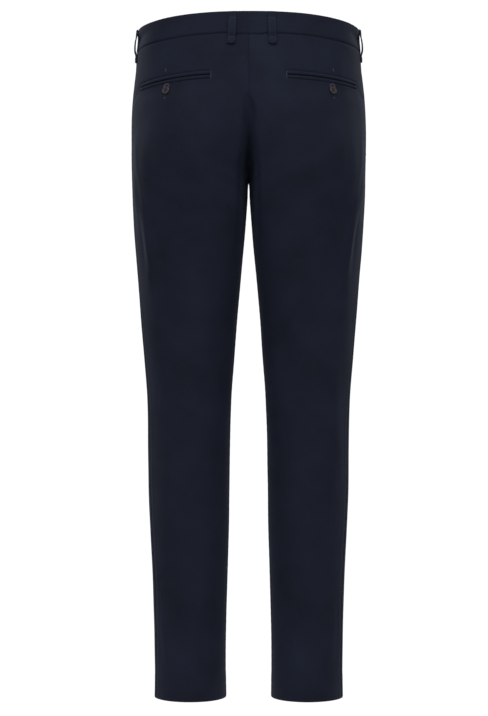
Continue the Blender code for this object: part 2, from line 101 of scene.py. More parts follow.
RINGS = table(("level", "outer", "inner_front", "inner_back", "front", "back", "squareness"), (
    (30, 171.0, -171.0, -171.0, 111, 114, 2.40),
    (16, 171.3, -171.3, -171.3, 111, 115, 2.40),
    (-17, 173.3, -173.3, -173.3, 113, 118, 2.40),
    (-45, 174.9, -174.9, -174.9, 115, 122, 2.35),
    (-65, 177.4, -177.4, -177.4, 116, 125, 2.30),
    (-85, 179.6, -179.6, -179.6, 117, 128, 2.25),
    (-105, 181.0, -181.0, -135.0, 117, 130, 2.22),
    (-125, 181.8, -181.8, -99.0, 117, 131, 2.20),
    (-145, 182.0, -150.0, -67.0, 116, 131, 2.20),
    (-165, 181.8, -86.0, -36.0, 114, 129, 2.18),
    (-185, 181.5, -35.0, -15.0, 112.3, 126.0, 2.15),
    (-200, 181.2, -12.5, -4.9, 110.8, 122.9, 2.13),
    (-211, 181.0, -3.4, -0.8, 109.6, 120.3, 2.11),
    (-219, 180.9, 0.0, 0.0, 108.5, 118.1, 2.10),
    (-245, 180.3, 1.9, 1.9, 105.0, 110.9, 2.08),
    (-277, 178.6, 4.4, 4.4, 100.5, 102.0, 2.05),
    (-308, 176.6, 7.2, 7.2, 96.6, 95.0, 2.02),
    (-370, 171.8, 12.7, 12.7, 90, 85, 2.00),
    (-432, 167.2, 18.3, 18.3, 84, 77, 2.00),
    (-494, 162.4, 22.5, 22.5, 79, 71, 2.00),
    (-556, 157.6, 27.2, 27.2, 73, 67, 2.00),
    (-600, 156.5, 28.8, 28.8, 69, 65, 2.00),
    (-680, 155.8, 29.8, 29.8, 62, 66, 2.00),
    (-760, 152.6, 31.0, 31.0, 58, 61, 2.00),
    (-850, 148.6, 33.6, 33.6, 55, 55, 2.00),
    (-930, 146.4, 35.4, 35.4, 55, 56, 2.00),
    (-980, 145.9, 35.6, 35.6, 57, 59.5, 2.00),
    (-1017, 146.2, 35.2, 35.2, 58, 62, 2.00),
))
SIDE_SEAM = table(("level", "angle"), (
    (30, 0.0), (-120, 0.0), (-250, 5.0), (-430, 15.0), (-600, 21.0), (-1017, 22.0),
))
FOLD_FADE = 18.0                # the folds fade out this near the plane X = 0
# The large folds: leg, top and bottom level, three angles from top to bottom, width and height.
FOLDS = (
    ("both", -120, -440, 6, 39, 46, 13, 4.2),
    ("both", -190, -470, 34, 60, 66, 20, -3.6),
    ("left", -560, -1040, 118, 112, 108, 18, 2.4),
    ("right", -640, -1040, 104, 108, 110, 18, 2.4),
    ("left", -330, -640, 150, 128, 108, 20, -2.4),
    ("right", -300, -640, 158, 122, 92, 22, -3.0),
    ("right", -420, -760, 62, 54, 50, 16, 2.2),
    ("left", -500, -880, 70, 64, 58, 17, 2.0),
    ("both", -175, -420, -120, -84, -58, 16, 3.0),
    ("both", -215, -520, -150, -116, -92, 18, -2.6),
    ("both", -470, -760, -128, -98, -74, 20, 2.6),
    ("both", -800, -1000, -60, -92, -124, 15, 2.4),
    ("both", -880, -1030, -118, -96, -80, 12, -2.0),
)
# Behind, the cloth runs on nearly flat to the seat seam and turns in tightly there: the squareness
# of a ring's inner back quarter, and how far and how near to its end it stands out further.
CORNERS = table(("level", "squareness", "full", "reach"), (
    (-105, 2.22, 0.0, 7.0),
    (-125, 2.30, 0.4, 7.0),
    (-145, 2.50, 1.6, 7.0),
    (-165, 2.90, 4.0, 7.0),
    (-185, 3.30, 7.0, 7.2),
    (-200, 3.60, 9.4, 7.5),
    (-219, 3.80, 11.8, 7.5),
    (-245, 3.60, 12.0, 8.0),
    (-277, 3.20, 10.6, 8.3),
    (-308, 2.80, 8.4, 8.6),
    (-370, 2.30, 3.2, 9.0),
    (-480, 2.00, 0.0, 9.0),
))


def bell(value, width):
    """A bell curve, exp(-(value / width)^2)."""
    return np.exp(-((value / width) ** 2))


def curve(columns, name, level):
    """A column at any level: cubics between the rows, with slopes that never overshoot them.

    A row's slope is the harmonic mean of the slopes on both sides, or 0 where they differ in sign.
    """
    x, y = columns["level"], columns[name]
    step = np.diff(x)
    slope = np.diff(y) / step
    tangent = np.zeros_like(y)
    before, after = 2 * step[1:] + step[:-1], step[1:] + 2 * step[:-1]
    with np.errstate(divide="ignore", invalid="ignore"):
        mean = (before + after) / (before / slope[:-1] + after / slope[1:])
    tangent[1:-1] = np.where(slope[:-1] * slope[1:] > 0, mean, 0.0)
    tangent[0], tangent[-1] = slope[0], slope[-1]
    level = np.clip(level, x[0], x[-1])
    i = np.clip(np.searchsorted(x, level) - 1, 0, len(x) - 2)
    t = (level - x[i]) / step[i]
    return (
        (1 + 2 * t) * (1 - t) ** 2 * y[i]
        + t * (1 - t) ** 2 * step[i] * tangent[i]
        + t * t * (3 - 2 * t) * y[i + 1]
        + t * t * (t - 1) * step[i] * tangent[i + 1]
    )


def ease(value, start, end):
    """0 before start, 1 after end, and t * t * (3 - 2 t) between."""
    t = np.clip((value - start) / (end - start), 0, 1)
    return t * t * (3 - 2 * t)


def oval(level, back, inside=False):
    """A ring's centre, half-width, depth and power: |x / half|^power + |y / depth|^power = 1."""
    outer = curve(RINGS, "outer", level)
    inner = np.where(back, curve(RINGS, "inner_back", level), curve(RINGS, "inner_front", level))
    depth = np.where(back, curve(RINGS, "back", level), curve(RINGS, "front", level))
    power = curve(RINGS, "squareness", level)
    inside = np.logical_and(back, inside) & (level <= CORNERS["level"][-1])
    power = np.where(inside, curve(CORNERS, "squareness", level), power)
    return (outer + inner) / 2, (outer - inner) / 2, depth, power


def seam_angle(level):
    """Angle of the side seam, which swings to the back on its way down."""
    return curve(SIDE_SEAM, "angle", level)


def centre_angle(level, back):
    """Where a ring meets the plane X = 0, or the inseam's 180 degrees below the crotch."""
    centre, half, depth, power = oval(level, back, True)
    y = depth * (1 - np.clip(centre / half, 0, 1) ** power) ** (1 / power)
    return (1 if back else -1) * np.degrees(np.arctan2(y, -centre))


def place(leg, angle, level):
    """A point of the smooth form: the oval, moved out by its folds, and raised at the waist.

    A fold's height is h sin(pi t)^2 exp(-(d / w)^2) at the share t of its length and the distance
    d from its path, which is a parabola through its three angles. Behind, the thighs' inner
    corners are filled out by f s exp(1 - s), where s is the reach from a ring's inner edge.
    """
    angle, level = np.broadcast_arrays(np.asarray(angle, float), np.asarray(level, float))
    centre, half, depth, power = oval(level, angle > 0, angle > 90)
    c, s = np.cos(np.radians(angle)), np.sin(np.radians(angle))
    radius = (np.abs(c / half) ** power + np.abs(s / depth) ** power) ** (-1 / power)
    x, y = centre + radius * c, radius * s
    nx = np.sign(c) * np.abs(radius * c / half) ** (power - 1) / half
    ny = np.sign(s) * np.abs(y / depth) ** (power - 1) / depth
    out = np.zeros(angle.shape)
    for legs, top, bottom, first, middle, last, width, height in FOLDS:
        if legs in ("both", leg):
            t = np.clip((level - top) / (bottom - top), 0, 1)
            path = first * (1 - t) * (1 - 2 * t) + 4 * middle * t * (1 - t) + last * t * (2 * t - 1)
            off = np.radians(angle - path) * radius / width
            out += height * np.sin(np.pi * t) ** 2 * np.exp(-off * off)
    out *= ease(np.abs(x), 0.0, FOLD_FADE) / np.hypot(nx, ny)
    past = np.maximum(x - np.maximum(centre - half, 0.0), 0.0) / curve(CORNERS, "reach", level)
    y = y + curve(CORNERS, "full", level) * (angle > 0) * past * np.exp(1 - past)
    x, y = x + out * nx, y + out * ny
    opening = ease(level, CROTCH, CROTCH - 3) * ease(level, CROTCH - 30, CROTCH - 8)
    x = x + GAP_START * bell(x, GAP_ROUND) * opening
    x = SIDE[leg] * x
    rise = WAIST_SLOPE * y + np.sign(y) * WAIST_CURVE * y * y - WAIST_TILT * x
    sag = WAIST_SAG + BACK_SAG * (1 - ease(np.abs(angle - 90.0), 9.0, 15.0))
    sag = sag * bell(level - WAIST_SEAM, SAG_REACH)
    return np.stack([x, y, level + rise * ease(level, RISE_START, WAIST_SEAM) - sag], axis=-1)


def unit(vectors):
    """Vectors divided by their lengths."""
    return vectors / np.linalg.norm(vectors, axis=-1, keepdims=True)


def outward(leg, angle, level):
    """Unit normal: the cross product of small steps round the ring and up it."""
    angle, level = np.asarray(angle, float), np.asarray(level, float)
    along = place(leg, angle + 0.6, level) - place(leg, angle - 0.6, level)
    up = place(leg, angle, level + 1.0) - place(leg, angle, level - 1.0)
    return unit(np.cross(along, up)) * SIDE[leg]


def moved_out(leg, angle, level, out):
    """The smooth form moved out along its normal."""
    return place(leg, angle, level) + np.asarray(out)[..., None] * outward(leg, angle, level)


def girth(level):
    """Mean radius of a ring, by the root of its mean square: it turns degrees into mm of cloth."""
    _, half, depth, _ = oval(level, False)
    return np.sqrt((half * half + depth * depth) / 2)


# Creases and seams: cotton twill holds soft creases where it is drawn round the body. A seam's edge
# rolls in, and its allowance, pressed open behind it, lifts the cloth beside it in a low band.

# Leg, the two ends as angle and level, how far the middle bows to one side, width and height.
CREASES = (
    ("both", 62, -52, 102, -50, 1.5, 4.0, -0.55),       # across the seat seam, under the waistband
    ("right", 99, -101, 109.5, -138, 1.5, 2.8, -2.9),   # beside the seat seam
    ("right", 95, -98, 105, -132, 1.5, 3.2, 0.60),
    ("left", 97, -116, 105, -136, -1.0, 4.0, -0.70),
    ("left", 23, -80, 5, -104, 2.5, 4.5, -1.00),        # from the pockets' outer ends
    ("right", 23, -80, 4, -108, 3.0, 4.5, -1.10),
    ("left", 16, -118, 36, -176, 3.0, 7.0, -0.80),
    ("right", 14, -126, 33, -190, 3.0, 8.0, -0.90),
    ("left", 8, -125, 34, -250, 1.0, 14.0, -2.40),      # the corners of the folds below the hips
    ("left", 15, -128, 44, -290, -20.0, 15.0, 2.60),
    ("left", 15, -128, 43, -280, -20.5, 5.0, 0.80),
    ("left", 42, -205, 46.5, -388, -1.5, 3.8, 1.30),
    ("left", 46, -205, 51, -400, -1.5, 9.0, 2.00),
    ("left", 42, -135, 54, -300, -6.0, 12.0, 2.00),
    ("left", 34, -215, 38, -380, -1.5, 7.5, -2.40),     # and the hollows outside them
    ("left", 45, -345, 52, -402, 1.5, 5.0, -1.50),
    ("right", 8, -125, 33, -250, 1.0, 14.0, -2.40),
    ("right", 13, -128, 43, -295, -20.0, 15.0, 2.60),
    ("right", 13, -128, 42, -285, -20.5, 5.0, 0.80),
    ("right", 38.5, -208, 46, -392, -4.0, 3.8, 1.30),
    ("right", 43, -208, 50.5, -404, -3.0, 9.0, 2.00),
    ("right", 40, -135, 53, -300, -6.0, 12.0, 2.00),
    ("right", 30.5, -215, 38.5, -382, -3.0, 7.5, -2.40),
    ("right", 46, -372, 62, -430, 3.0, 6.5, -1.10),
    ("left", 84, -128, 118, -205, 6.0, 11.0, 0.35),     # under the seat
    ("right", 88, -140, 122, -214, 7.0, 11.0, 0.40),
    ("left", 96, -236, 150, -268, 8.0, 9.0, 0.50),
    ("right", 92, -230, 148, -262, 7.0, 9.5, 0.45),
    ("left", 110, -258, 160, -300, 8.0, 7.0, -0.90),
    ("right", 104, -268, 158, -318, 8.0, 8.0, -0.80),
    ("left", 52, -349, 90, -352, 3.0, 6.0, -0.45),
    ("left", 70, -372, 92, -402, 2.0, 7.0, -0.55),
    ("right", 60, -396, 82, -402, 2.0, 6.0, -0.65),
    ("left", 130, -470, 168, -474, 2.0, 5.0, -0.95),    # behind the knee, inner side
    ("left", 132, -500, 170, -505, 2.5, 4.5, -0.80),
    ("right", 132, -468, 168, -474, -2.0, 5.0, -0.85),
    ("right", 134, -499, 166, -506, 2.0, 5.0, -0.80),
    ("right", 92, -436, 146, -452, -5.0, 7.0, -0.80),
    ("right", 84, -478, 112, -492, 3.0, 6.5, -0.65),
    ("left", 84, -512, 140, -530, 6.0, 8.0, -0.70),
    ("left", 60, -548, 118, -560, 7.0, 8.0, 0.60),
    ("right", 66, -532, 128, -556, 7.0, 8.0, 0.70),
    ("left", 88, -588, 152, -604, 6.0, 7.5, -0.60),
    ("right", 82, -600, 144, -612, 5.0, 7.0, -0.70),
    ("left", 40, -640, 84, -690, 5.0, 9.0, 0.60),
    ("right", 38, -660, 88, -700, 5.0, 9.0, 0.60),
    ("left", 38, -880, 60, -978, 3.0, 6.0, 0.90),       # down to the hems
    ("right", 42, -842, 54, -968, 3.0, 6.5, 0.90),
    ("left", 118, -850, 110, -1030, 3.0, 6.5, -0.90),
    ("right", 122, -846, 112, -1030, -3.0, 6.5, -0.90),
    ("left", 62, -930, 98, -1000, 6.0, 8.0, -0.55),
    ("right", 66, -910, 100, -986, 6.0, 8.0, -0.50),
    ("left", -86, -150, -30, -122, 5.0, 6.0, -0.95),    # front, drawn across from the fly's foot
    ("right", -88, -146, -34, -128, 4.0, 6.5, -0.85),
    ("left", -96, -178, -28, -160, 6.0, 7.0, -0.90),
    ("right", -98, -184, -24, -156, 7.0, 7.0, -1.00),
    ("left", -112, -205, -38, -214, 8.0, 8.0, 0.85),
    ("right", -110, -208, -36, -206, 8.0, 8.0, 0.80),
    ("left", -150, -236, -70, -262, 9.0, 8.0, -0.95),
    ("right", -148, -232, -76, -270, 9.0, 8.0, -0.85),
    ("left", -160, -290, -96, -330, 8.0, 8.0, 0.75),
    ("right", -158, -300, -92, -336, 8.0, 8.5, 0.70),
    ("left", -150, -500, -70, -482, 7.0, 8.0, -0.90),   # across the knees
    ("right", -146, -496, -66, -488, 7.0, 8.0, -0.85),
    ("left", -140, -540, -50, -556, -8.0, 9.0, 0.75),
    ("right", -136, -548, -56, -552, -8.0, 9.0, 0.75),
    ("left", -152, -604, -74, -590, 6.0, 7.0, -0.80),
    ("right", -148, -598, -78, -588, 6.0, 7.0, -0.75),
    ("left", -30, -620, -64, -700, 5.0, 9.0, 0.60),
    ("right", -28, -640, -62, -716, 5.0, 9.0, 0.60),
    ("left", -150, -900, -74, -868, 7.0, 8.0, -0.80),   # over the instep
    ("right", -146, -892, -70, -872, 7.0, 8.0, -0.85),
    ("left", -134, -940, -52, -962, -6.0, 8.0, 0.80),
    ("right", -128, -950, -56, -958, -6.0, 8.0, 0.75),
)
SEAM_ROLL = 0.8                 # depth to which two pieces' edges roll in at their seam
SEAM_ROLL_WIDTH = 1.2
WAIST_ROLL = 1.15               # the waist seam is drawn in further
WAIST_ROLL_WIDTH = 1.5
SEAT_SEAM_SHARE = 0.45          # the seat and front seams are pressed flatter
CLEFT_TOP = -104.0              # the seat seam's line shows above this level and fades below it
# How far the seat seam is drawn in between the legs, and how widely.
CLEFT = table(("level", "depth", "width"), (
    (-100, 0, 7), (-115, 4, 8), (-130, 7, 8), (-150, 10, 8), (-165, 14, 9), (-179, 20, 10),
    (-194, 28, 11), (-205, 33, 11.5), (-213, 34, 11.5), (-238, 29, 11.5), (-275, 16, 11.5),
    (-340, 6, 12), (-420, 0, 12),
))
ALLOWANCE = 11.0                # width of a pressed seam allowance
ALLOWANCE_LIFT = 0.42
PUCKER = 0.10                   # small waves that the stitches draw along a seam
HEM_TURN = 35.0
HEM_STEP = 0.25                 # the doubled hem stands out a little
POCKET_LEVEL = -76.0
POCKET_INNER = 64.8             # a back pocket's two ends
POCKET_OUTER = 18.5
POCKET_DROP = {"left": 3.6, "right": 1.2}
WELT = 5.2                      # height of each of a pocket's two welts
SLIT = 0.7
SLIT_DEPTH = 3.4                # how far the cloth under the welts is drawn in
LOWER_LINE = 0.12               # depth of the line along the lower welt's seam
BEAD_SHARE = 0.45               # height of the bead beside such a line, for each mm of its depth
LOOP_FEET = {"left": (78.9, 7.0, -48.0), "right": (73.2, 7.0, -48.0)}
LOOP_FOOT_LEVEL = -36.0         # where the belt loops are sewn down
LOOP_DENT = 0.9                 # depth and reach of the dents there
LOOP_DENT_REACH = 6.5
SWELL = 0.24                    # height of the cloth's own unevenness
SLANT_BOTTOM = -182.0
SLANT_WIDTH = 15.0
TOPSTITCH = 6.0                 # from a folded edge to the row of stitches along it
MOUTH_LIFT = 0.9                # how far the mouth's folded edge stands out
MOUTH_DITCH = 0.35              # and how deep its stitches press

rng = np.random.default_rng(11)
WAVE_COUNT = 14
waves = rng.normal(size=(WAVE_COUNT, 3)) * (1, 1, 0.55)
waves = unit(waves) * (2 * np.pi / rng.uniform(34, 120, size=(WAVE_COUNT, 1)))
wave_phases = rng.uniform(0, 2 * np.pi, WAVE_COUNT)


def uneven(points):
    """Low swells that have no rule: sine waves through space, over the root of their number."""
    return np.sin(points @ waves.T + wave_phases).sum(-1) / math.sqrt(WAVE_COUNT)


def pocket_edge(level):
    """Angle of the slanted front pocket's mouth, which runs down into the side seam."""
    share = np.clip((level - SLANT_BOTTOM) / (WAIST_SEAM - SLANT_BOTTOM), 0, 1)
    return seam_angle(level) - SLANT_WIDTH * (0.75 * share + 0.25 * ease(share, 0, 1))


def pocket_level(leg, angle):
    """A back pocket's slit: level at its inner end, and falling by a parabola to its outer end."""
    share = np.clip((POCKET_INNER - angle) / (POCKET_INNER - POCKET_OUTER), 0, 1)
    return POCKET_LEVEL - POCKET_DROP[leg] * share**2


def seam(distance, share=1.0):
    """A seam's relief: a narrow roll inwards, and a low band over the allowance beside it."""
    roll = -SEAM_ROLL * bell(distance, SEAM_ROLL_WIDTH)
    band = ease(distance, 0, 3) * (1 - ease(distance, ALLOWANCE - 2, ALLOWANCE + 2))
    return share * (roll + ALLOWANCE_LIFT * band)


def creases(leg, angle, level):
    """Sum of the creases: h sin(pi t)^2 exp(-(d / w)^2), with t along the chord and d off a bow."""
    total = np.zeros(np.broadcast(angle, level).shape)
    for legs, angle_a, level_a, angle_b, level_b, bow, width, height in CREASES:
        if legs not in ("both", leg):
            continue
        middle = (angle_a + angle_b) / 2
        scale = math.radians(girth((level_a + level_b) / 2))
        chord = np.array([(angle_b - angle_a) * scale, level_b - level_a])
        length = np.hypot(*chord)
        u = ((angle - middle + 180) % 360 - 180) * scale
        v = level - (level_a + level_b) / 2
        t = np.clip((u * chord[0] + v * chord[1]) / length**2 + 0.5, 0, 1)
        off = (u * chord[1] - v * chord[0]) / length - 4 * bow * t * (1 - t)
        total += height * np.sin(np.pi * t) ** 2 * bell(off, width * (0.75 + 0.5 * t))
    return total


def swell(leg, angle, level):
    """The creases, the cloth's low swells, and the dents where belt loops are sewn down."""
    points = place(leg, angle, level)
    drawn_in = 0.0
    for loop_angle in LOOP_FEET[leg]:
        away = np.linalg.norm(points - place(leg, loop_angle, LOOP_FOOT_LEVEL), axis=-1)
        drawn_in = drawn_in + LOOP_DENT * bell(away, LOOP_DENT_REACH)
    return creases(leg, angle, level) + SWELL * uneven(points) - drawn_in


def relief(leg, angle, level, back):
    """How far the cloth stands off the smooth form: swells, seams, hem, and pockets' edges.

    Under a back pocket's welts the cloth sinks to the slit, with a line and a low bead where they
    are sewn on. A front pocket's folded mouth stands out, with a ditch along its stitches.
    """
    angle, level = np.broadcast_arrays(np.asarray(angle, float), np.asarray(level, float))
    scale = np.radians(girth(level))
    edge = seam_angle(level) if back else pocket_edge(level)
    to_side = np.abs(angle - edge) * scale
    to_centre = np.abs(centre_angle(level, back) - angle) * scale
    share = SEAT_SEAM_SHARE + (1 - SEAT_SEAM_SHARE) * ease(level, CROTCH + 15, CROTCH - 20)
    share = share + 0.45 * ease(level, CLEFT_TOP, -90.0) * back
    cleft = ease(level, CLEFT_TOP, -130.0) * (1 - ease(level, CROTCH + 30, CROTCH - 10))
    share = share - 0.3 * cleft
    total = swell(leg, angle, level) + seam(to_side) + seam(to_centre, share)
    total -= WAIST_ROLL * bell(WAIST_SEAM - level, WAIST_ROLL_WIDTH)
    total += HEM_STEP * (1 - ease(level, HEM + HEM_TURN - 1.5, HEM + HEM_TURN + 2.5))
    pucker = np.exp(-to_side / 6) + np.exp(-to_centre / 6)
    total += PUCKER * pucker * np.sin(level / 1.9 + 2.2 * np.sin(level / 23.0))
    if back:
        ends = ease(angle, POCKET_OUTER - 1.0, POCKET_OUTER + 1.5)
        ends *= 1 - ease(angle, POCKET_INNER - 1.5, POCKET_INNER + 1.0)
        slit = pocket_level(leg, angle)
        off = np.abs(level - slit)
        total -= SLIT_DEPTH * ends * (1 - ease(off, 1.0, WELT + 1.0))
        line = np.where(level > slit, 0.35 + 0.65 * ease(angle, 34.0, 50.0), LOWER_LINE)
        total -= line * ends * bell(off - WELT, 0.9)
        total += BEAD_SHARE * line * ends * bell(off - WELT - 2.0, 1.3)
    else:
        upper = ease(level, SLANT_BOTTOM + 8, SLANT_BOTTOM + 30)
        total += upper * MOUTH_LIFT * np.exp(-to_side / 14) * (1 - ease(level, -45.0, -19.0))
        total -= upper * MOUTH_DITCH * bell(to_side - TOPSTITCH, 1.4)
    return total


def with_cleft(points, level):
    """The seat drawn forwards along its seam, by depth exp(-(x / width)^4)."""
    depth, width = curve(CLEFT, "depth", level), curve(CLEFT, "width", level)
    drawn = points.copy()
    near = np.exp(-((points[..., 0] / width) ** 4)) * ease(points[..., 1], 5.0, 60.0)
    drawn[..., 1] -= depth * near
    return drawn


def cloth(leg, angle, level, back, out=0.0):
    """A point of the creased cloth, or a point that stands off it."""
    return moved_out(leg, angle, level, relief(leg, angle, level, back) + out)


# Finish: navy cotton twill, about 270 g for each square metre. It is matt, with steep ribs and a
# short nap that catches light at a glancing angle. Its yarns vary a little in thickness and shade.

NAVY_LIGHT = "#171c2a"
NAVY_DARK = "#0d0f18"
NAP = "#8fa2c8"
RIB_PITCH = 1.1                 # real ribs lie about 0.5 mm apart, too fine to show
RIB_SLANT = 62.0                # degrees from the weft
YARN = 0.55                     # thickness of a yarn, and the width of its flecks
MIX_A, MIX_B = 6, 7             # a Mix node's two colour sockets


def linear(colour, alpha=1.0):
    """An sRGB hex colour in linear values."""
    value = np.array([int(colour[i : i + 2], 16) / 255 for i in (1, 3, 5)])
    value = np.where(value <= 0.04045, value / 12.92, ((value + 0.055) / 1.055) ** 2.4)
    return (*value.tolist(), alpha)


def add(tree, kind, links=None, inputs=None, **settings):
    """Adds a node: settings are its properties, inputs its values, links its incoming sockets."""
    node = tree.nodes.new(kind)
    for name, value in settings.items():
        setattr(node, name, value)
    for name, value in (inputs or {}).items():
        node.inputs[name].default_value = value
    for name, source in (links or {}).items():
        tree.links.new(source, node.inputs[name])
    return node


def new_material(name, values):
    """A material with the values of its shader, its node tree and the shader."""
    made = bpy.data.materials.new(name)
    made.use_nodes = True
    surface = made.node_tree.nodes["Principled BSDF"]
    for socket, value in values.items():
        surface.inputs[socket].default_value = value
    return made, made.node_tree, surface


twill, tree, shader = new_material("navy_cotton_twill", {
    "Roughness": 0.86, "Specular IOR Level": 0.10, "Sheen Weight": 0.05, "Sheen Roughness": 0.42,
    "Sheen Tint": linear(NAP),
})
uv = add(tree, "ShaderNodeUVMap", uv_map="cloth").outputs["UV"]
turned = add(
    tree, "ShaderNodeMapping", {"Vector": uv}, {"Rotation": (0, 0, math.radians(90 - RIB_SLANT))},
)
ribs = add(
    tree, "ShaderNodeTexWave", {"Vector": turned.outputs["Vector"]},
    {"Scale": 2 * math.pi / 20 / (RIB_PITCH * MM), "Distortion": 0.6, "Detail": 1.0,
     "Detail Scale": 2.0},
)
along_warp = add(tree, "ShaderNodeMapping", {"Vector": uv}, {"Scale": (1.0, 0.09, 1.0)})
flecks = add(
    tree, "ShaderNodeTexNoise", {"Vector": along_warp.outputs["Vector"]},
    {"Scale": 0.5 / (YARN * MM), "Detail": 2.0, "Roughness": 0.6},
)
fading = add(tree, "ShaderNodeTexNoise", {"Vector": uv}, {"Scale": 14.0, "Detail": 3.0})
weave = add(
    tree, "ShaderNodeMath", {0: ribs.outputs["Fac"], 1: flecks.outputs["Fac"]},
    operation="MULTIPLY",
)
shade = add(
    tree, "ShaderNodeMath", {0: weave.outputs["Value"], 1: fading.outputs["Fac"]}, operation="ADD",
)
level_shade = add(
    tree, "ShaderNodeMapRange", {"Value": shade.outputs["Value"]},
    {"From Min": 0.35, "From Max": 1.05},
)
colour = add(
    tree, "ShaderNodeMix", {"Factor": level_shade.outputs["Result"]},
    {MIX_A: linear(NAVY_DARK), MIX_B: linear(NAVY_LIGHT)}, data_type="RGBA",
)
bump = add(
    tree, "ShaderNodeBump", {"Height": weave.outputs["Value"]},
    {"Strength": 0.55, "Distance": 0.16 * MM},
)
tree.links.new(colour.outputs[2], shader.inputs["Base Color"])
tree.links.new(bump.outputs["Normal"], shader.inputs["Normal"])


# Mesh: a grid of points over each panel, and the same grid one layer further in.

CLOTH = 1.4                     # thickness of one layer
HEM_FOLD = 1.3                  # radius of the outer face round the hem's fold
EDGE_STEPS = np.array([0, 0.5, 1.0, 1.6, 2.4, 3.6, 5.5, 8.0])      # mm from a panel's edge
TYPICAL_WIDTH = 220.0
MIDDLE_STEPS = 90
TORSO_STEP = 2.4
LEG_STEP = 3.2


def grid(rows, columns, closed=False):
    """The four corners of each cell of a grid, in order, as indices into its points."""
    r, c = np.meshgrid(np.arange(rows - 1), np.arange(columns - (not closed)), indexing="ij")
    d = (c + 1) % columns
    corners = (r * columns + c, (r + 1) * columns + c, (r + 1) * columns + d, r * columns + d)
    return np.stack(corners, axis=-1).reshape(-1, 4)


def make(name, points, faces, finish, uv=None):
    """One piece that rides with the trousers, from points in mm and arrays of faces' corners."""
    mesh = bpy.data.meshes.new(name)
    corners = [face for part in faces for face in part.tolist()]
    mesh.from_pydata((np.reshape(points, (-1, 3)) * MM).tolist(), [], corners)
    if uv is not None:
        corner = np.empty(len(mesh.loops), np.int32)
        mesh.loops.foreach_get("vertex_index", corner)
        flat = np.reshape(uv, (-1, 2))[corner] * MM
        mesh.uv_layers.new(name="cloth").uv.foreach_set("vector", flat.astype(np.float32).ravel())
    mesh.shade_smooth()
    mesh.set_sharp_from_angle(angle=math.radians(52))
    mesh.materials.append(finish)
    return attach(put(name, mesh), "root")


def lengths(points, axis):
    """Running length along one direction of a grid of points."""
    step = np.linalg.norm(np.diff(points, axis=axis), axis=-1)
    start = np.zeros_like(np.take(step, [0], axis=axis))
    return np.concatenate([start, np.cumsum(step, axis=axis)], axis=axis)


def flat_cut(points, mirrored):
    """A sheet's pattern: mm across from its middle column, and mm down along that column."""
    across, down = lengths(points, 1), lengths(points, 0)
    middle = points.shape[1] // 2
    u = across - across[:, middle : middle + 1]
    v = np.broadcast_to(-down[:, middle : middle + 1], u.shape)
    return np.stack([-u if mirrored else u, v], axis=-1)


def wall(name, outer, inner, uv, finish):
    """A sheet with its thickness: an outer and an inner grid of points, joined round their rim."""
    rows, columns = outer.shape[:2]
    cells = grid(rows, columns)
    behind = rows * columns
    index = np.arange(behind).reshape(rows, columns)
    rim = np.concatenate([index[0, :-1], index[:-1, -1], index[-1, :0:-1], index[:0:-1, 0]])
    after = np.roll(rim, -1)
    faces = np.concatenate([
        cells, cells[:, ::-1] + behind,
        np.stack([rim, after, after + behind, rim + behind], axis=-1),
    ])
    down, along = outer[1:, :-1] - outer[:-1, :-1], outer[:-1, 1:] - outer[:-1, :-1]
    if np.sum(np.cross(down, along) * (outer - inner)[:-1, :-1]) < 0:
        faces = faces[:, ::-1]
    both = np.concatenate([outer.reshape(-1, 3), inner.reshape(-1, 3)])
    return make(name, both, (faces,), finish, np.concatenate([uv.reshape(-1, 2)] * 2))


def cut_piece(name, node, outer, inner, mirrored,
              finish=twill):
    """A piece of cloth in place of a node, with its cut laid out about its middle column.
    """
    piece = wall(name, outer, inner, flat_cut(outer, mirrored), finish)
    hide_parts(node)


def centre_levels(back, count):
    """Levels down a centre seam, evenly spaced along its curve."""
    level = CROTCH + (WAIST_SEAM - CROTCH) * np.linspace(1, 0, 600) ** 2
    length = lengths(place("left", centre_angle(level, back), level), 0)
    return np.interp(np.linspace(0, length[-1], count), length, level)


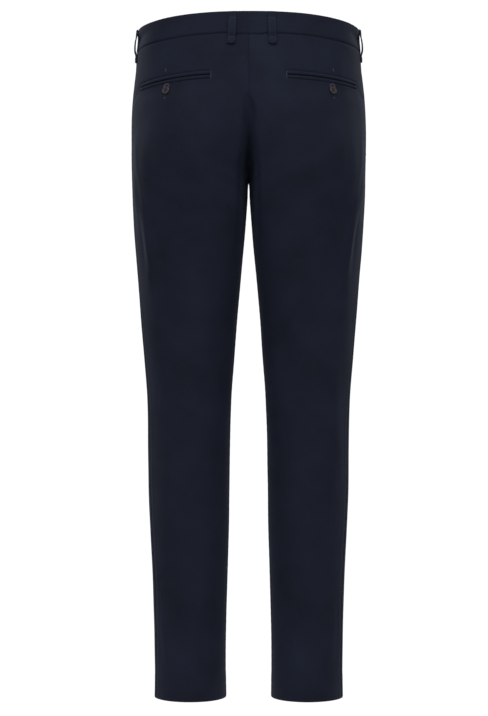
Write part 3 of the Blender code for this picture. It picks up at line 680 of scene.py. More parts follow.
def panel(leg, side):
    """A leg panel. Its rows run level down the leg and bend with the centre seam above the crotch.

    The centre's angle changes suddenly at the crotch. The columns follow its mean over 48 mm of the
    seam, and turn to the seam itself by the eighth power of their share of the width.
    """
    back = side == "back"
    edge = EDGE_STEPS / TYPICAL_WIDTH
    between = np.linspace(0, 1, MIDDLE_STEPS)[1:-1]
    across = np.concatenate([
        edge, edge[-1] + (1 - 2 * edge[-1]) * between * (0.6 + 0.4 * between), 1 - edge[::-1],
    ])
    torso_rows = round((WAIST_SEAM - CROTCH) / TORSO_STEP)
    share = np.linspace(0, 1, torso_rows)
    share = np.concatenate([[0.0, 0.003, 0.006], share[1:]])
    at_side = WAIST_SEAM + (CROTCH - WAIST_SEAM) * share
    at_centre = np.interp(share, np.linspace(0, 1, torso_rows), centre_levels(back, torso_rows))
    torso = at_side[:, None] + (at_centre - at_side)[:, None] * across**2
    leg_rows = np.linspace(CROTCH, HEM + HEM_FOLD, round((CROTCH - HEM) / LEG_STEP))[1:]
    fold = np.linspace(0, math.pi, 8)[1:]
    inside = np.linspace(HEM + HEM_FOLD, HEM + HEM_TURN, 12)[1:]
    down = np.concatenate([leg_rows, HEM + HEM_FOLD * (1 - np.sin(fold)), inside])
    level = np.concatenate([torso, np.repeat(down[:, None], len(across), axis=1)])
    flat_rows = len(torso) + len(leg_rows)
    turn = np.concatenate([np.zeros(flat_rows), fold, np.full(len(inside), math.pi)])[:, None]
    start = seam_angle(level) if back else pocket_edge(level)
    end = centre_angle(level, back)
    near = np.mean([centre_angle(level + step, back) for step in np.linspace(-24, 24, 9)], axis=0)
    angle = start + (near - start) * across + (end - near) * across**8
    turned = HEM_FOLD * (1 - np.cos(turn))
    stands = relief(leg, angle, level, back)
    outer = moved_out(leg, angle, level, stands - turned)
    thin = np.where(turn > 0, (HEM_FOLD - CLOTH + 0.2) * np.sin(turn), 0.0)
    inner = moved_out(leg, angle, level + thin, stands - turned - CLOTH * np.cos(turn))
    if back:
        outer, inner = with_cleft(outer, level), with_cleft(inner, level)
    for points in (outer, inner):
        points[..., 0] = SIDE[leg] * np.maximum(SIDE[leg] * points[..., 0], 0.0)
        points[: len(torso), -1, 0] = 0.0
    mirrored = (leg == "left") == back
    cut_piece(f"{side}_panel_{leg}", f"{side}_{leg}", outer, inner, mirrored)


for leg in SIDE:
    for side in ("back", "front"):
        panel(leg, side)


# ---- Slanted front pockets ------------------------------------------------------------------
# The front's edge is folded back and stitched along the slanted mouth, with a bartack at each end.
# A facing of the same twill shows between the mouth and the side seam. The pocket hangs inside.
#
# Thread: spun polyester, a little smoother than the cloth, with a faint twist, and drawn thicker
# than its 0.4 mm so that it shows. A stitch is a short bar that dives into the cloth at both
# ends, and a bartack is many of them side by side.

THREAD = 0.26                   # radius
STITCH = 3.0                    # pitch of a row of stitches
TACK_PITCH = 0.62               # pitch of a bartack's bars

sewing_thread, tree, shader = new_material("navy_polyester_thread", {
    "Base Color": linear("#23293b"), "Roughness": 0.62, "Specular IOR Level": 0.20,
})
where = add(tree, "ShaderNodeTexCoord").outputs["Object"]
twist = add(tree, "ShaderNodeTexNoise", {"Vector": where}, {"Scale": 1800.0})
bump = add(
    tree, "ShaderNodeBump", {"Height": twist.outputs["Fac"]},
    {"Strength": 0.5, "Distance": 0.08 * MM},
)
tree.links.new(bump.outputs["Normal"], shader.inputs["Normal"])


def threads(name, start, end, normal, finish, radius=THREAD, lift=0.30):
    """Bars from start to end: five rings of six points, bowed out along the normal."""
    share = np.array([0.0, 0.16, 0.5, 0.84, 1.0])
    bow = np.array([-0.55, 0.45, 1.0, 0.45, -0.55]) * lift
    thick = np.array([0.75, 1.0, 1.0, 1.0, 0.75]) * radius
    along = end - start
    aside = unit(np.cross(along, normal))
    up = unit(np.cross(aside, along))
    middle = start[:, None] + share[:, None] * along[:, None] + bow[:, None] * normal[:, None]
    turn = np.arange(6) * math.pi / 3
    circle = (np.cos(turn)[:, None] * aside[:, None, None]
              + np.sin(turn)[:, None] * up[:, None, None]) * thick[:, None, None]
    points = middle[:, :, None] + circle
    first = np.arange(len(start))[:, None, None] * 30
    sides = (grid(5, 6, closed=True)[None, :, ::-1] + first).reshape(-1, 4)
    caps = np.concatenate([first[:, 0] + np.arange(6), first[:, 0] + 24 + np.arange(6)[::-1]])
    return make(name, points, (sides, caps), finish)


def row_of_stitches(points, normals, pitch=STITCH):
    """Starts, ends and normals of the stitches along a line of points."""
    length = lengths(points, 0)
    knots = np.linspace(0, length[-1], round(length[-1] / pitch) + 1)
    start, end, normal = (
        np.stack([np.interp(at, length, of[:, i]) for i in range(3)], axis=-1)
        for at, of in (
            (knots[:-1] + 0.12 * pitch, points),
            (knots[1:] - 0.12 * pitch, points),
            ((knots[:-1] + knots[1:]) / 2, normals),
        )
    )
    return start, end, unit(normal)


def axes(leg, angle, level):
    """Level across to the left of someone who looks at the cloth, up it, and out of it.

    Across is the cross product of out and the vertical, and up that of across and out.
    """
    out = outward(leg, angle, level)
    across = unit(np.cross(out, (0.0, 0.0, 1.0)))
    return across, np.cross(across, out), out


def bartack(centre, along, across, out, length, width):
    """Bars across a bartack's width, one after another down its length."""
    count = round(length / TACK_PITCH)
    down = (np.arange(count)[:, None] + 0.5 - count / 2) * TACK_PITCH
    start = centre + down * along - across * width / 2
    end = centre + (down + 0.2) * along + across * width / 2
    return start, end, np.broadcast_to(out, start.shape)


def together(*rows):
    """Several rows of bars as one."""
    return tuple(np.concatenate(part) for part in zip(*rows))


UNDER_GAP = 1.1                 # between a panel and what is sewn in behind it
FACING_UNDER = 4.0              # degrees that the facing runs on behind the mouth
FACING_REACH = 1.35             # its width with that part, as a share of the width that shows
MOUTH_TACKS = (-41.0, -174.0)   # levels of the bartacks


def pocket_facing(leg):
    """From the side seam, where it lies flush, to behind the mouth, one layer and a gap in."""
    level = np.linspace(WAIST_SEAM, SLANT_BOTTOM, 72)[:, None]
    across = np.concatenate([EDGE_STEPS[:6] / 60, np.linspace(0.1, FACING_REACH, 24)])
    start, edge = seam_angle(level), pocket_edge(level)
    past = (across - 1) / (FACING_REACH - 1)
    angle = np.where(across <= 1, start + (edge - start) * across, edge - FACING_UNDER * past)
    step = CLOTH + UNDER_GAP
    shown = np.clip((start - edge) / 3.0, 0, 1)
    out = -step + (step - 0.2) * (1 - ease(across, 0.0, 1.0)) * shown
    to_seam = (start - angle) * np.radians(girth(level))
    out = out - SEAM_ROLL * bell(to_seam, SEAM_ROLL_WIDTH)
    out = out - WAIST_ROLL * bell(WAIST_SEAM - level, WAIST_ROLL_WIDTH)
    out = out + swell(leg, angle, level)
    outer = moved_out(leg, angle, level, out)
    inner = moved_out(leg, angle, level, out - CLOTH)
    name = f"pocket_facing_{leg}"
    cut_piece(name, f"front_{name}", outer, inner, leg == "left")


def beside_mouth(level, off):
    """Angle on the front, some mm in from the pocket's mouth."""
    return pocket_edge(level) - np.degrees(off / girth(level))


for leg in SIDE:
    pocket_facing(leg)
    level = np.linspace(WAIST_SEAM - 2, SLANT_BOTTOM + 10, 200)
    angle = beside_mouth(level, TOPSTITCH)
    line = cloth(leg, angle, level, False, 0.05)
    rows = [row_of_stitches(line, outward(leg, angle, level))]
    for tack in MOUTH_TACKS:
        angle = beside_mouth(tack, TOPSTITCH / 2)
        across, up, out = axes(leg, angle, tack)
        centre = cloth(leg, angle, tack, False, 0.1)
        rows.append(bartack(centre, across, up, out, TOPSTITCH, 2.2))
    threads(f"pocket_mouth_stitching_{leg}", *together(*rows), sewing_thread)


# ---- Waistband ------------------------------------------------------------------------------
# Two halves of twill over a firm interlining, folded over at the top and joined by a seam at the
# centre back. The left half's end laps over the right one at the front.

WAISTBAND_TOP = 16.0
BAND_WALL = 3.0
BAND_PROUD = 0.8                # how far the band stands out of the panels
BAND_LAP = 3.5                  # how far the left end stands out where it laps over the right one
LAP_LEFT = 16.0                 # how far each end passes the centre front
LAP_RIGHT = 18.0
BAND_EDGE = 1.3                 # radius of the folded top
RING_FRONT = 112.0              # distance from the ring's centre to the cloth in front
RING_BACK = 118.0               # and behind
RING_SIDE = 171.0
SEWN_IN = (-80.8, -79.6)        # from the lap on, the left half is filled in down to the front
BAND_JOIN_SHARE = 0.25          # the centre-back seam is pressed almost flush in the firm band
TUCK_ANGLE = 13.0               # under each side loop the band is drawn in below its top edge
TUCK_LEVEL = 1.5
TUCK_DEPTH = 3.4


def lap(leg, angle):
    """How far the left half stands out towards its end."""
    return BAND_LAP * (1 - ease(angle, -80.0, -66.0)) * (leg == "left")


def band_out(leg, angle, level):
    """The waistband's outer face, off the smooth form. Its tuck is a bell curve both ways."""
    seam_ditch = (WAIST_ROLL + 0.1) * bell(level - WAIST_SEAM, 1.3)
    to_back = np.radians(np.abs(90.0 - angle)) * RING_SIDE
    join = BAND_JOIN_SHARE * seam(to_back) * (1 - ease(to_back, 14.0, 16.0))
    ripple = 0.16 * np.sin(angle * 1.9 + 1.3 * np.sin(angle * 0.23) + 0.05 * level)
    swells = SWELL * uneven(place(leg, angle, level))
    above = level - TUCK_LEVEL
    tuck = TUCK_DEPTH * bell(above, np.where(above > 0, 4.0, 13.0)) * bell(angle - TUCK_ANGLE, 7.5)
    return BAND_PROUD + lap(leg, angle) + swells + ripple * 0.5 + join - seam_ditch - tuck


def waistband(leg):
    """A tube round the ring: up the outer face, over the fold and down the inner face.

    Its section narrows at the end by a quarter circle. Where the left half stands out in its lap,
    its inner face stays on the front.
    """
    past = LAP_LEFT if leg == "left" else LAP_RIGHT
    end = -90.0 - math.degrees(past / RING_FRONT)
    near = np.degrees(EDGE_STEPS / RING_BACK)
    last = end + np.degrees(np.array([2.0, 1.3, 0.8, 0.4, 0.12, 0.0]) / RING_FRONT)
    between = np.linspace(90 - near[-1], last[0], 190)[1:-1]
    angle = np.concatenate([90 - near, between, last])[:, None]
    edge = np.linspace(0, math.pi, 9)
    inner_top = WAISTBAND_TOP - BAND_EDGE
    face = WAIST_SEAM + np.array([0, 0.5, 1.1, 1.8, 2.8, 4.2, 6.5])
    face = np.concatenate([face, np.linspace(-7.5, inner_top, 9)[:-1]])
    inside = np.linspace(inner_top, WAIST_SEAM, 8)[1:]
    level = np.concatenate([face, inner_top + BAND_EDGE * np.sin(edge), inside])
    half = BAND_WALL / 2
    inward = np.concatenate([
        np.zeros(len(face)), half * (1 - np.cos(edge)), np.full(len(inside), BAND_WALL),
    ])
    level = np.broadcast_to(level, (len(angle), len(level)))
    from_end = np.radians(angle - end) * RING_FRONT
    plump = np.sqrt(np.clip(1 - (1 - np.clip(from_end / 1.3, 0, 1)) ** 2, 0.02, 1))
    out = band_out(leg, angle, np.minimum(level, inner_top)) - half + (half - inward) * plump
    out = out - lap(leg, angle) * ease(angle, *SEWN_IN) * ease(inward, half, BAND_WALL)
    points = moved_out(leg, angle, level, out)
    points[0, :, 0] = 0.0
    around = points.shape[1]
    cells = grid(len(points), around, closed=True)
    index = np.arange(around)
    start, stop = index[None], index[None, ::-1] + (len(points) - 1) * around
    caps = np.concatenate([start, stop])
    if leg == "right":
        cells, caps = cells[:, ::-1], caps[:, ::-1]
    along, down = lengths(points, 0), lengths(points, 1)
    uv = np.stack([down, SIDE[leg] * along[:, :1] + 0 * down], axis=-1)
    piece = make(f"waistband_cloth_{leg}", points, (cells, caps), twill, uv)
    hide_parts(f"waistband_{leg}")


for leg in SIDE:
    waistband(leg)


# ---- Belt loops -----------------------------------------------------------------------------
# Six strips of doubled twill, edge-stitched along both sides. Each lies flat on the band and on
# the cloth below it as far as a tack near each end, and stands off between the two tacks.

LOOP_WIDTH = 12.3
LOOP_TOP = 15.6
LOOP_BOTTOM = -35.0
LOOP_CLOTH = 1.6
LOOP_END_CLOTH = 2.5            # its ends are folded under
LOOP_TACKS = (-24.4, 4.8)       # levels of the tacks, and how deep they press
TACK_DEPTHS = (0.7, 0.4)
LOOP_STITCH = 4.3               # from the middle to a row of stitches
LOOP_CORNER = 1.2               # how far the lower end's corners are rounded off
# Name, leg, angle, lean of the top to the front, and gap.
LOOPS = (
    ("back_left", "left", 77.9, 1.6, 2.6),
    ("back_right", "right", 73.2, 0.0, 2.6),
    ("side_left", "left", 7.0, 0.0, 2.3),
    ("side_right", "right", 7.0, 0.0, 2.3),
    ("front_left", "left", -48.0, 0.0, 2.6),
    ("front_right", "right", -48.0, 0.0, 2.6),
)


def loop_out(across, level, gap):
    """Heights of a loop's two faces, where across is -1 at one edge and 1 at the other.

    Between its tacks it bows out by (1 - t^2)^0.75 of the gap, with t from -1 to 1.
    """
    on_band = ease(level, WAIST_SEAM - 7.0, WAIST_SEAM + 1.0)
    seat = 0.35 + (BAND_PROUD + 0.2) * on_band
    middle = sum(LOOP_TACKS) / 2 + 1.5
    span = (LOOP_TACKS[1] - LOOP_TACKS[0]) / 2 + 0.5
    bow = np.clip(1 - ((level - middle) / span) ** 2, 0, 1) ** 0.75
    under = seat + (gap - BAND_PROUD * (1 - on_band)) * bow
    thick = LOOP_CLOTH + (LOOP_END_CLOTH - LOOP_CLOTH) * (1 - ease(bow, 0.0, 0.5))
    end = np.minimum(level - LOOP_BOTTOM, LOOP_TOP - level)
    end_round = 1 - 0.85 * (1 - np.clip(end / 1.1, 0, 1)) ** 2
    edge_round = 1 - 0.8 * np.abs(across) ** 14
    row = bell(np.abs(across) * LOOP_WIDTH / 2 - LOOP_STITCH, 0.5)
    tack = sum(depth * bell(level - at, 1.6) for at, depth in zip(LOOP_TACKS, TACK_DEPTHS))
    top = under + thick * end_round * edge_round - 0.22 * row - tack * (1 - across**4)
    return top, under


def loop_grid(leg, angle, lean, gap, across, level):
    """Points of a loop's outer and inner face, with their angles. Its lower corners are rounded."""
    middle = (LOOP_BOTTOM + LOOP_TOP) / 2
    radius = float(np.linalg.norm(place(leg, angle, 0.0)[:2]))
    slant = lean * (level - middle) / (LOOP_TOP - LOOP_BOTTOM)
    turn = angle + np.degrees((across * LOOP_WIDTH / 2 + slant) / radius)
    top, under = loop_out(across, level, gap)
    low = SWELL * uneven(place(leg, turn, level))
    foot = 1 - ease(level, LOOP_BOTTOM, LOOP_BOTTOM + 9.0)
    level = level + LOOP_CORNER * np.abs(across) ** 3 * foot
    return moved_out(leg, turn, level, top + low), moved_out(leg, turn, level, under + low), turn


for name, leg, angle, lean, gap in LOOPS:
    ends = np.array([0, 0.25, 0.6, 1.1, 1.8, 2.4, 3.0, 3.6, 4.4])
    between = np.linspace(-29.5, 10.1, 56)
    level = np.concatenate([LOOP_BOTTOM + ends, between, (LOOP_TOP - ends)[::-1]])
    across = np.array([0, 0.18, 0.4, 0.55, 0.65, 0.73, 0.81, 0.88, 0.94, 0.98, 1.0])
    across = np.concatenate([-across[:0:-1], across])
    outer, inner, turn = loop_grid(leg, angle, lean, gap, across[None], level[:, None])
    cut_piece(f"belt_loop_cloth_{name}", f"belt_loop_{name}", outer, inner, leg == "left")
    fine = np.linspace(LOOP_BOTTOM + 4.5, LOOP_TOP - 4.5, 120)
    rows = []
    for edge in (-1, 1):
        at = np.full(len(fine), edge * LOOP_STITCH * 2 / LOOP_WIDTH)
        top, under, turn = loop_grid(leg, angle, lean, gap, at, fine)
        rows.append(row_of_stitches(top, outward(leg, turn, fine), 2.6))
    for at in LOOP_TACKS:
        top, under, turn = loop_grid(leg, angle, lean, gap, 0.0, at)
        side, up, out = axes(leg, turn, at)
        rows.append(bartack(top + 0.1 * out, side, up, out, LOOP_WIDTH - 4.0, 1.8))
    threads(f"belt_loop_stitching_{name}", *together(*rows), sewing_thread, radius=0.22)


# ---- Fly ------------------------------------------------------------------------------------
# The left front laps over the right one and is stitched down in a J, over a nylon coil zip whose
# tapes are sewn behind both edges. The zip stays closed.

FLY_WIDTH = 34.0
FLY_STRAIGHT_END = -128.0
FLY_BOTTOM = -163.0
FLY_LAP = 5.0                   # how far the left front passes the centre
FLY_PROUD = 0.12                # it stands out at the J's edge, and by FLY_PUFF more 24 mm in
FLY_PUFF = 1.75
FLY_STITCH = 4.0                # from the J's edge in to its stitches
ZIP_WIDTH = 26.0
ZIP_CLOTH = 1.0
ZIP_BOTTOM = -146.0
COIL_PITCH = 1.5


def front_angle(x, level):
    """Angle on the front at a distance from the centre, by the ring's oval."""
    centre, half, depth, power = oval(level, False)
    share = np.clip(np.abs((x - centre) / half), 0, 1)
    return -np.degrees(np.arctan2(depth * (1 - share**power) ** (1 / power), x - centre))


def across_front(x, level, out):
    """Points and normals on the front on both sides of the centre, off the swelling cloth."""
    x, level, out = np.broadcast_arrays(x, level, out)
    angle = front_angle(np.abs(x), level)
    sides = []
    for leg in SIDE:
        points = moved_out(leg, angle, level, out + swell(leg, angle, level))
        sides.append((points, outward(leg, angle, level)))
    left = (x >= 0)[..., None]
    return tuple(np.where(left, a, b) for a, b in zip(*sides))


def fly_outline(share):
    """Level and relative width of the fly's facing at a share of its length.

    It runs straight down and then turns in: its width by the cosine, its level by the sine.
    """
    straight = (WAIST_SEAM - FLY_STRAIGHT_END) / (WAIST_SEAM - FLY_BOTTOM)
    turn = np.clip((share - straight) / (1 - straight), 0, 1) * math.pi / 2 * 0.94
    level = WAIST_SEAM + (FLY_STRAIGHT_END - WAIST_SEAM) * np.minimum(share / straight, 1)
    return level + (FLY_BOTTOM - FLY_STRAIGHT_END) * np.sin(turn), np.cos(turn)


share = np.concatenate([[0, 0.004, 0.008, 0.013], np.linspace(0.02, 1.0, 84)])[:, None]
level, wide = fly_outline(share)
across = np.concatenate([EDGE_STEPS[:7] / 39, np.linspace(0.18, 1.0, 26)])[None]
span = (FLY_WIDTH + FLY_LAP) * wide
x = -FLY_LAP + span * across
from_j = np.minimum((1 - across) * span, level - FLY_BOTTOM + 2.0)
height = FLY_PROUD + FLY_PUFF * ease(from_j, 0, 24) - 0.30 * bell(from_j - FLY_STITCH, 1.2)
height = height - 0.75 * bell(across * span, 0.9)
height = height - (WAIST_ROLL + 0.4) * bell(WAIST_SEAM - level, WAIST_ROLL_WIDTH)
outer = across_front(x, level, height)[0]
inner = across_front(x, level, np.minimum(height - 0.35, 0.1) + 0 * x)[0]
cut_piece("fly_flap_cloth", "fly_flap", outer, inner, True)

share = np.linspace(0.0, 0.985, 240)
level, wide = fly_outline(share)
x = -FLY_LAP + (FLY_WIDTH + FLY_LAP) * wide - FLY_STITCH * (0.4 + 0.6 * wide)
level = level + FLY_STITCH * (1 - wide) ** 2
x = np.maximum(x, -FLY_LAP + 2.0)
points, normals = across_front(x, level, FLY_PUFF * ease(FLY_STITCH, 0, 24))
rows = [row_of_stitches(points, normals)]
for x, level in ((-2.0, FLY_BOTTOM + 6.0), (27.0, FLY_STRAIGHT_END - 4.0)):
    centre = across_front(x, level, 1.1)[0]
    rows.append(bartack(centre, *axes("left", front_angle(abs(x), level), level), 7.0, 2.0))
threads("fly_stitching", *together(*rows), sewing_thread)

# The tapes are woven of polyester, flat and dull, in a fine herringbone with bands of about 1 mm.
zip_tape, tree, shader = new_material("navy_woven_zip_tape", {
    "Roughness": 0.75, "Specular IOR Level": 0.2,
})
where = add(tree, "ShaderNodeTexCoord").outputs["Object"]
herringbone = add(
    tree, "ShaderNodeTexWave", {"Vector": where}, {"Scale": 260.0, "Distortion": 1.0},
    bands_direction="DIAGONAL",
)
tape_colour = add(
    tree, "ShaderNodeMix", {"Factor": herringbone.outputs["Fac"]},
    {MIX_A: linear("#121623"), MIX_B: linear("#1d2333")}, data_type="RGBA",
)
bump = add(
    tree, "ShaderNodeBump", {"Height": herringbone.outputs["Fac"]},
    {"Strength": 0.4, "Distance": 0.1 * MM},
)
tree.links.new(tape_colour.outputs[2], shader.inputs["Base Color"])
tree.links.new(bump.outputs["Normal"], shader.inputs["Normal"])

level = np.linspace(WAIST_SEAM - 1.5, ZIP_BOTTOM, 80)[:, None]
across = np.array([-0.5, -0.46, -0.3, -0.14, -0.06, 0.06, 0.14, 0.3, 0.46, 0.5]) * ZIP_WIDTH
behind = -(CLOTH + UNDER_GAP)
outer = across_front(across[None], level, behind)[0]
inner = across_front(across[None], level, behind - ZIP_CLOTH)[0]
cut_piece("fly_zip_tape", "fly_zip", outer, inner, True,
          zip_tape)
level = np.arange(WAIST_SEAM - 4, ZIP_BOTTOM + 2, -COIL_PITCH)
reach = np.where(np.arange(len(level)) % 2 == 0, 2.4, 1.0)
behind = behind - ZIP_CLOTH - 0.2
start, normals = across_front(-reach, level, behind)
end = across_front(3.4 - reach, level - 0.2, behind)[0]
threads("fly_zip_coil", start, end, -normals, sewing_thread, radius=0.5, lift=0.5)


# ---- Back pockets ---------------------------------------------------------------------------
# Two welts of folded twill lie lip to lip along each pocket's slit, with a pale bartack across both
# ends. A short pale tack stands above, and a buttonhole is cut below the lower welt. The tacks'
# thread is paler than the cloth, partly in its own shade and partly as a painted sheen.

WELT_CLOTH = 1.3
BUTTON_ANGLE = {"left": 40.3, "right": 39.3}
BUTTON_LEVEL = -92.5
TICK_ANGLE = {"left": 37.5, "right": 36.5}
TICK_LEVEL = -63.0
EYE_LEVEL = -85.6               # centre of a buttonhole's round end
EYE_ASIDE = -0.8                # from the button to the slit, towards the seat seam
EYE_INNER = 2.3
EYE_OUTER = 5.4
EYE_PROUD = 0.45                # the eye's purls stand on a cord that is sewn in
BUTTONHOLE_FOOT = -104.0
PURL_PITCH = 0.6                # round the eye it is kept at PITCH_RADIUS
PITCH_RADIUS = 3.4
SLIT_PURL = (0.25, 2.1)         # the bars along the slit, from its middle


def dyed(name, colour):
    """The sewing thread in another colour."""
    thread = sewing_thread.copy()
    thread.name = name
    base = thread.node_tree.nodes["Principled BSDF"].inputs["Base Color"]
    base.default_value = linear(colour)
    return thread


# Slate thread: paler than the cloth, partly in its own shade and partly as a painted sheen.
pale_thread_with_painted_sheen = dyed("slate_thread_with_painted_sheen", "#343b49")
# Midnight navy: the buttons' own dark thread, and painted shade on the buttonhole sides.
dark_thread_and_painted_shade = dyed("midnight_thread_and_painted_shade", "#10131d")
burgundy_thread = dyed("burgundy_polyester_thread", "#45303e")


def welt(leg, part):
    """A folded strip: rounded over at the slit, and running under the cloth at its far edge."""
    upper = part == "upper"
    toward = 1.0 if upper else -1.0
    ends = np.array([0, 0.06, 0.16, 0.35, 0.7])
    angle = np.concatenate([
        POCKET_OUTER + ends, np.linspace(POCKET_OUTER + 1.2, POCKET_INNER - 1.2, 90),
        (POCKET_INNER - ends)[::-1],
    ])[None]
    off = np.array([0, 0.15, 0.4, 0.8, 1.3, 2.0, 2.8, 3.4, 3.9, 4.4, 4.9, 5.4])[:, None]
    lip = -1.6 * (1 - np.clip(off / 1.2, 0, 1)) ** 2
    ditch = -1.9 * ease(off, 3.2, 5.4)
    from_end = np.minimum(angle - POCKET_OUTER, POCKET_INNER - angle)
    sunk = -1.3 * (1 - ease(from_end, 0.0, 1.1))
    level = pocket_level(leg, angle) + toward * (SLIT / 2 + off)
    angle = np.broadcast_to(angle, level.shape)
    puff = 0.25 * np.sin(np.radians(angle) * 9 + 2 * upper)
    out = 1.05 + lip + ditch + sunk + 0.3 * puff + swell(leg, angle, level)
    outer = moved_out(leg, angle, level, out)
    inner = moved_out(leg, angle, level, out - 0.9 * WELT_CLOTH)
    cut_piece(f"back_pocket_{part}_lip_{leg}", f"back_pocket_{part}_welt_{leg}", outer, inner,
              leg == "left")


def purl(centre, across, up, out, foot):
    """A keyhole buttonhole's bars: round its eye, and down both sides of its slit to the foot."""
    turn = np.radians(np.arange(-50, 231, math.degrees(PURL_PITCH / PITCH_RADIUS)))[:, None]
    ray = np.cos(turn) * across + np.sin(turn) * up
    proud = centre + EYE_PROUD * out
    eye = (proud + EYE_INNER * ray, proud + EYE_OUTER * ray)
    drop = np.arange(EYE_INNER + 1.5, foot, PURL_PITCH)[:, None]
    start, end = (
        np.concatenate([centre - drop * up + side * off * across for side in (-1, 1)])
        for off in SLIT_PURL
    )
    return tuple((a, b, np.broadcast_to(out, a.shape)) for a, b in (eye, (start, end)))


for leg in SIDE:
    for part in ("upper", "lower"):
        welt(leg, part)
    tacks = []
    for angle, level, tall in (
        (POCKET_INNER + 0.1, POCKET_LEVEL, 10.0),
        (POCKET_OUTER, POCKET_LEVEL - POCKET_DROP[leg], 9.0),
        (TICK_ANGLE[leg], TICK_LEVEL, 5.2),
    ):
        across, up, out = axes(leg, angle, level)
        centre = cloth(leg, angle, level, True, 0.35)
        tacks.append(bartack(centre, up, across, out, tall, 1.5))
    threads(f"back_pocket_tacks_{leg}", *together(*tacks), pale_thread_with_painted_sheen)
    angle = BUTTON_ANGLE[leg]
    across, up, out = axes(leg, angle, BUTTON_LEVEL)
    centre = cloth(leg, angle, BUTTON_LEVEL, True, 0.15) + (EYE_LEVEL - BUTTON_LEVEL) * up
    centre = centre - SIDE[leg] * EYE_ASIDE * across
    eye, sides = purl(centre, across, up, out, EYE_LEVEL - BUTTONHOLE_FOOT)
    threads(f"buttonhole_eye_{leg}", *eye, burgundy_thread, radius=0.34)
    foot = bartack(centre - (EYE_LEVEL - BUTTONHOLE_FOOT) * up, across, up, out, 2.6, 2.8)
    # The slit's sides take the midnight thread as painted shade of the button over them.
    threads(f"buttonhole_sides_{leg}", *sides, dark_thread_and_painted_shade, radius=0.34)
    threads(f"buttonhole_foot_{leg}", *foot, pale_thread_with_painted_sheen)


# ---- Buttons --------------------------------------------------------------------------------
# Turned buttons of dark mottled horn with a raised rim, a dished middle and four holes, sewn on
# with dark navy thread. The pocket buttons stay through their buttonholes, and the waist's too.

BUTTON_WIDTH = 12.0
WAIST_BUTTON_WIDTH = 16.0
BUTTON_HEIGHT = 2.6
BUTTON_SIDES = 72
HOLE_RADIUS = 0.75
HOLE_SPACING = 1.45             # from the button's axis to a hole, both across and up
BUTTON_SEAT = 0.5               # between the cloth and a button's underside
WAIST_EYE_ANGLE = -93.2         # the waistband's buttonhole
WAIST_SLIT = 18.5

# Horn, sawn, turned and tumbled to a soft gloss. Paler streaks run through it, 2 to 3 mm apart.
horn, tree, shader = new_material("grey_mottled_horn", {
    "Roughness": 0.52, "Specular IOR Level": 0.25,
})
where = add(tree, "ShaderNodeTexCoord").outputs["Object"]
drawn_out = add(tree, "ShaderNodeMapping", {"Vector": where}, {"Scale": (1, 1, 0.3)})
streaks = add(
    tree, "ShaderNodeTexNoise", {"Vector": drawn_out.outputs["Vector"]},
    {"Scale": 420.0, "Detail": 3.0, "Distortion": 1.2},
)
horn_colour = add(
    tree, "ShaderNodeMix", {"Factor": streaks.outputs["Fac"]},
    {MIX_A: linear("#151416"), MIX_B: linear("#2d2b2e")}, data_type="RGBA",
)
tree.links.new(horn_colour.outputs[2], shader.inputs["Base Color"])


def button(name, node, leg, angle, level, out, width):
    """Rings of a lathe: underside, edge, rim and dish, with four holes pressed into the dish."""
    radius = np.array([
        0.5, 0.72, 0.9, 0.98, 1.0, 0.995, 0.97, 0.92, 0.87, 0.82, 0.77, 0.72, 0.67, 0.62, 0.57,
        0.52, 0.47, 0.42, 0.37, 0.32, 0.27, 0.22, 0.17, 0.11, 0.05,
    ])
    rows = len(radius)
    height = np.interp(
        np.arange(rows),
        [1, 3, 4, 6, 7, 8, 9, 10, 11, 12, 13, 15, 25],
        [0.0, 0.28, 0.40, 0.72, 0.85, 0.94, 0.99, 1.0, 0.98, 0.94, 0.90, 0.87, 0.84],
    ) * BUTTON_HEIGHT
    turn = np.linspace(0, 2 * math.pi, BUTTON_SIDES, endpoint=False)
    across, up, axis = axes(leg, angle, level)
    a = radius[:, None] * width / 2 * np.cos(turn)
    b = radius[:, None] * width / 2 * np.sin(turn)
    top = (np.arange(rows) > 7)[:, None]
    scale = width / BUTTON_WIDTH
    reach, hole = HOLE_SPACING * scale, HOLE_RADIUS * scale
    away = np.hypot(np.abs(a) - reach, np.abs(b) - reach)
    depth = 1.3 * (1 - ease(away, 0.4 * hole, 1.25 * hole))
    rise = height[:, None] - np.where(top, depth, 0.0)
    seat = moved_out(leg, angle, level, out)
    points = seat + a[..., None] * across + b[..., None] * up + rise[..., None] * axis
    ring = np.arange(BUTTON_SIDES)[None]
    caps = np.concatenate([ring, ring[:, ::-1] + (rows - 1) * BUTTON_SIDES])
    piece = make(name, points, (grid(rows, BUTTON_SIDES, closed=True)[:, ::-1], caps), horn)
    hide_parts(node)
    side = np.array((1.0, 1.0, 1.0, -1.0, -1.0, -1.0))[:, None] * up
    shift = np.array((-0.25, 0.0, 0.25) * 2)[:, None]
    base = seat + 0.80 * BUTTON_HEIGHT * axis + shift * (across - side)
    start, end = base - reach * (across + side), base + reach * (across + side)
    normal = np.broadcast_to(axis, start.shape)
    threads(f"{name}_thread", start, end, normal, dark_thread_and_painted_shade, radius=0.2, lift=0.45)


for leg in SIDE:
    stands = float(relief(leg, BUTTON_ANGLE[leg], BUTTON_LEVEL, True)) + BUTTON_SEAT
    button(f"pocket_button_{leg}", f"back_pocket_button_{leg}", leg, BUTTON_ANGLE[leg],
           BUTTON_LEVEL, stands, BUTTON_WIDTH)
stands = BAND_PROUD + BAND_LAP + BUTTON_SEAT
button("waistband_button", "waist_button", "left", -90.0, 0.0, stands, WAIST_BUTTON_WIDTH)

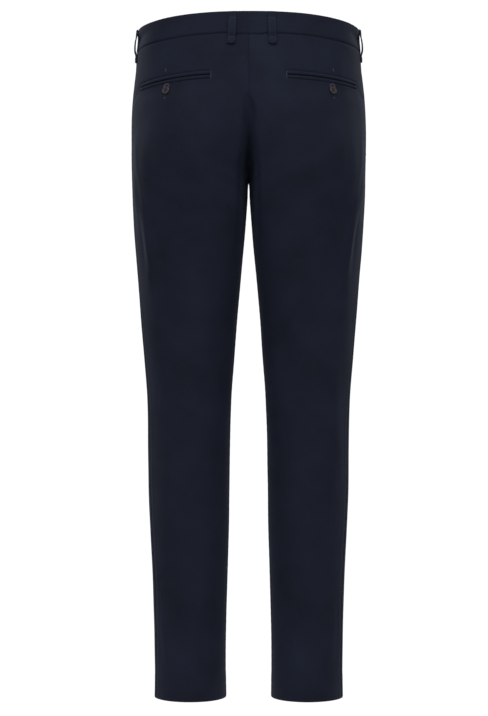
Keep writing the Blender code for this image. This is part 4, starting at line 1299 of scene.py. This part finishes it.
across, up, out = axes("left", WAIST_EYE_ANGLE, 0.0)
stands = band_out("left", WAIST_EYE_ANGLE, 0.0) + 0.1
centre = moved_out("left", WAIST_EYE_ANGLE, 0.0, stands)
eye, sides = purl(centre, -up, -across, out, WAIST_SLIT)
threads("waistband_buttonhole", *together(eye, sides), sewing_thread, radius=0.34)


# ---- Studio ---------------------------------------------------------------------------------
# A white floor and an even white room, a diffuser overhead, a softbox above the seat, and two tall
# ones on the far side that light both edges of the trousers.

FLOOR_LEVEL = -1.45
FLOOR_SIZE = 4.8
ROOM_LIGHT = 0.33               # how brightly the white room lights the trousers
BACKDROP = 1.05                 # and how bright its walls look

bpy.context.scene.view_settings.view_transform = "Standard"
world = bpy.data.worlds.new("studio")
world.use_nodes = True
tree = world.node_tree
seen = add(tree, "ShaderNodeLightPath").outputs["Is Camera Ray"]
strength = add(
    tree, "ShaderNodeMapRange", {"Value": seen}, {"To Min": ROOM_LIGHT, "To Max": BACKDROP},
)
tree.links.new(strength.outputs["Result"], tree.nodes["Background"].inputs["Strength"])
tree.nodes["Background"].inputs["Color"].default_value = linear("#ffffff")
bpy.context.scene.world = world

half = FLOOR_SIZE / 2
floor_mesh = bpy.data.meshes.new("floor")
floor_mesh.from_pydata(
    [(x, y, FLOOR_LEVEL) for x, y in ((-half, -half), (half, -half), (half, half), (-half, half))],
    [], [(0, 1, 2, 3)],
)
# Seamless paper is matt, without grain, and a shade darker than the lit room.
paper, tree, shader = new_material("white_seamless_paper", {
    "Base Color": linear("#e9e9e9"), "Roughness": 0.9,
})
floor_mesh.materials.append(paper)
put("floor", floor_mesh)

SUN_POWER = 2.0                 # the overhead diffuser, drawn as a sun with a very wide disc
SUN_HEIGHT = 60.0
SUN_SPREAD = 75.0
SUN_SIDE = 172.0                # it shines on the back, from a little to one side
AIM = (0.0, 0.0, -0.45)         # where the softboxes point, at the thighs
# Name, place, size and power in watts.
SOFTBOXES = (
    ("left_edge", (2.0, -1.5, 0.9), (0.8, 1.8), 27.5),
    ("right_edge", (-2.0, -1.5, 0.9), (0.8, 1.8), 23.5),
    ("key", (-0.05, 1.3, 0.95), (1.4, 0.8), 17.0),
)
overhead = put("overhead", bpy.data.lights.new("overhead", "SUN"))
overhead.data.energy = SUN_POWER
overhead.data.angle = math.radians(SUN_SPREAD)
overhead.rotation_euler = (math.radians(90 - SUN_HEIGHT), 0, math.radians(SUN_SIDE))
for name, position, size, power in SOFTBOXES:
    light = put(name, bpy.data.lights.new(name, "AREA"))
    light.data.shape = "RECTANGLE"
    light.data.size, light.data.size_y = size
    light.data.energy = power
    light.location = position
    aim = np.array(AIM) - np.array(position)
    yaw = math.atan2(aim[0], -aim[1])
    pitch = math.atan2(aim[2], math.hypot(aim[0], aim[1]))
    light.rotation_euler = (math.pi / 2 + pitch, 0, math.pi + yaw)
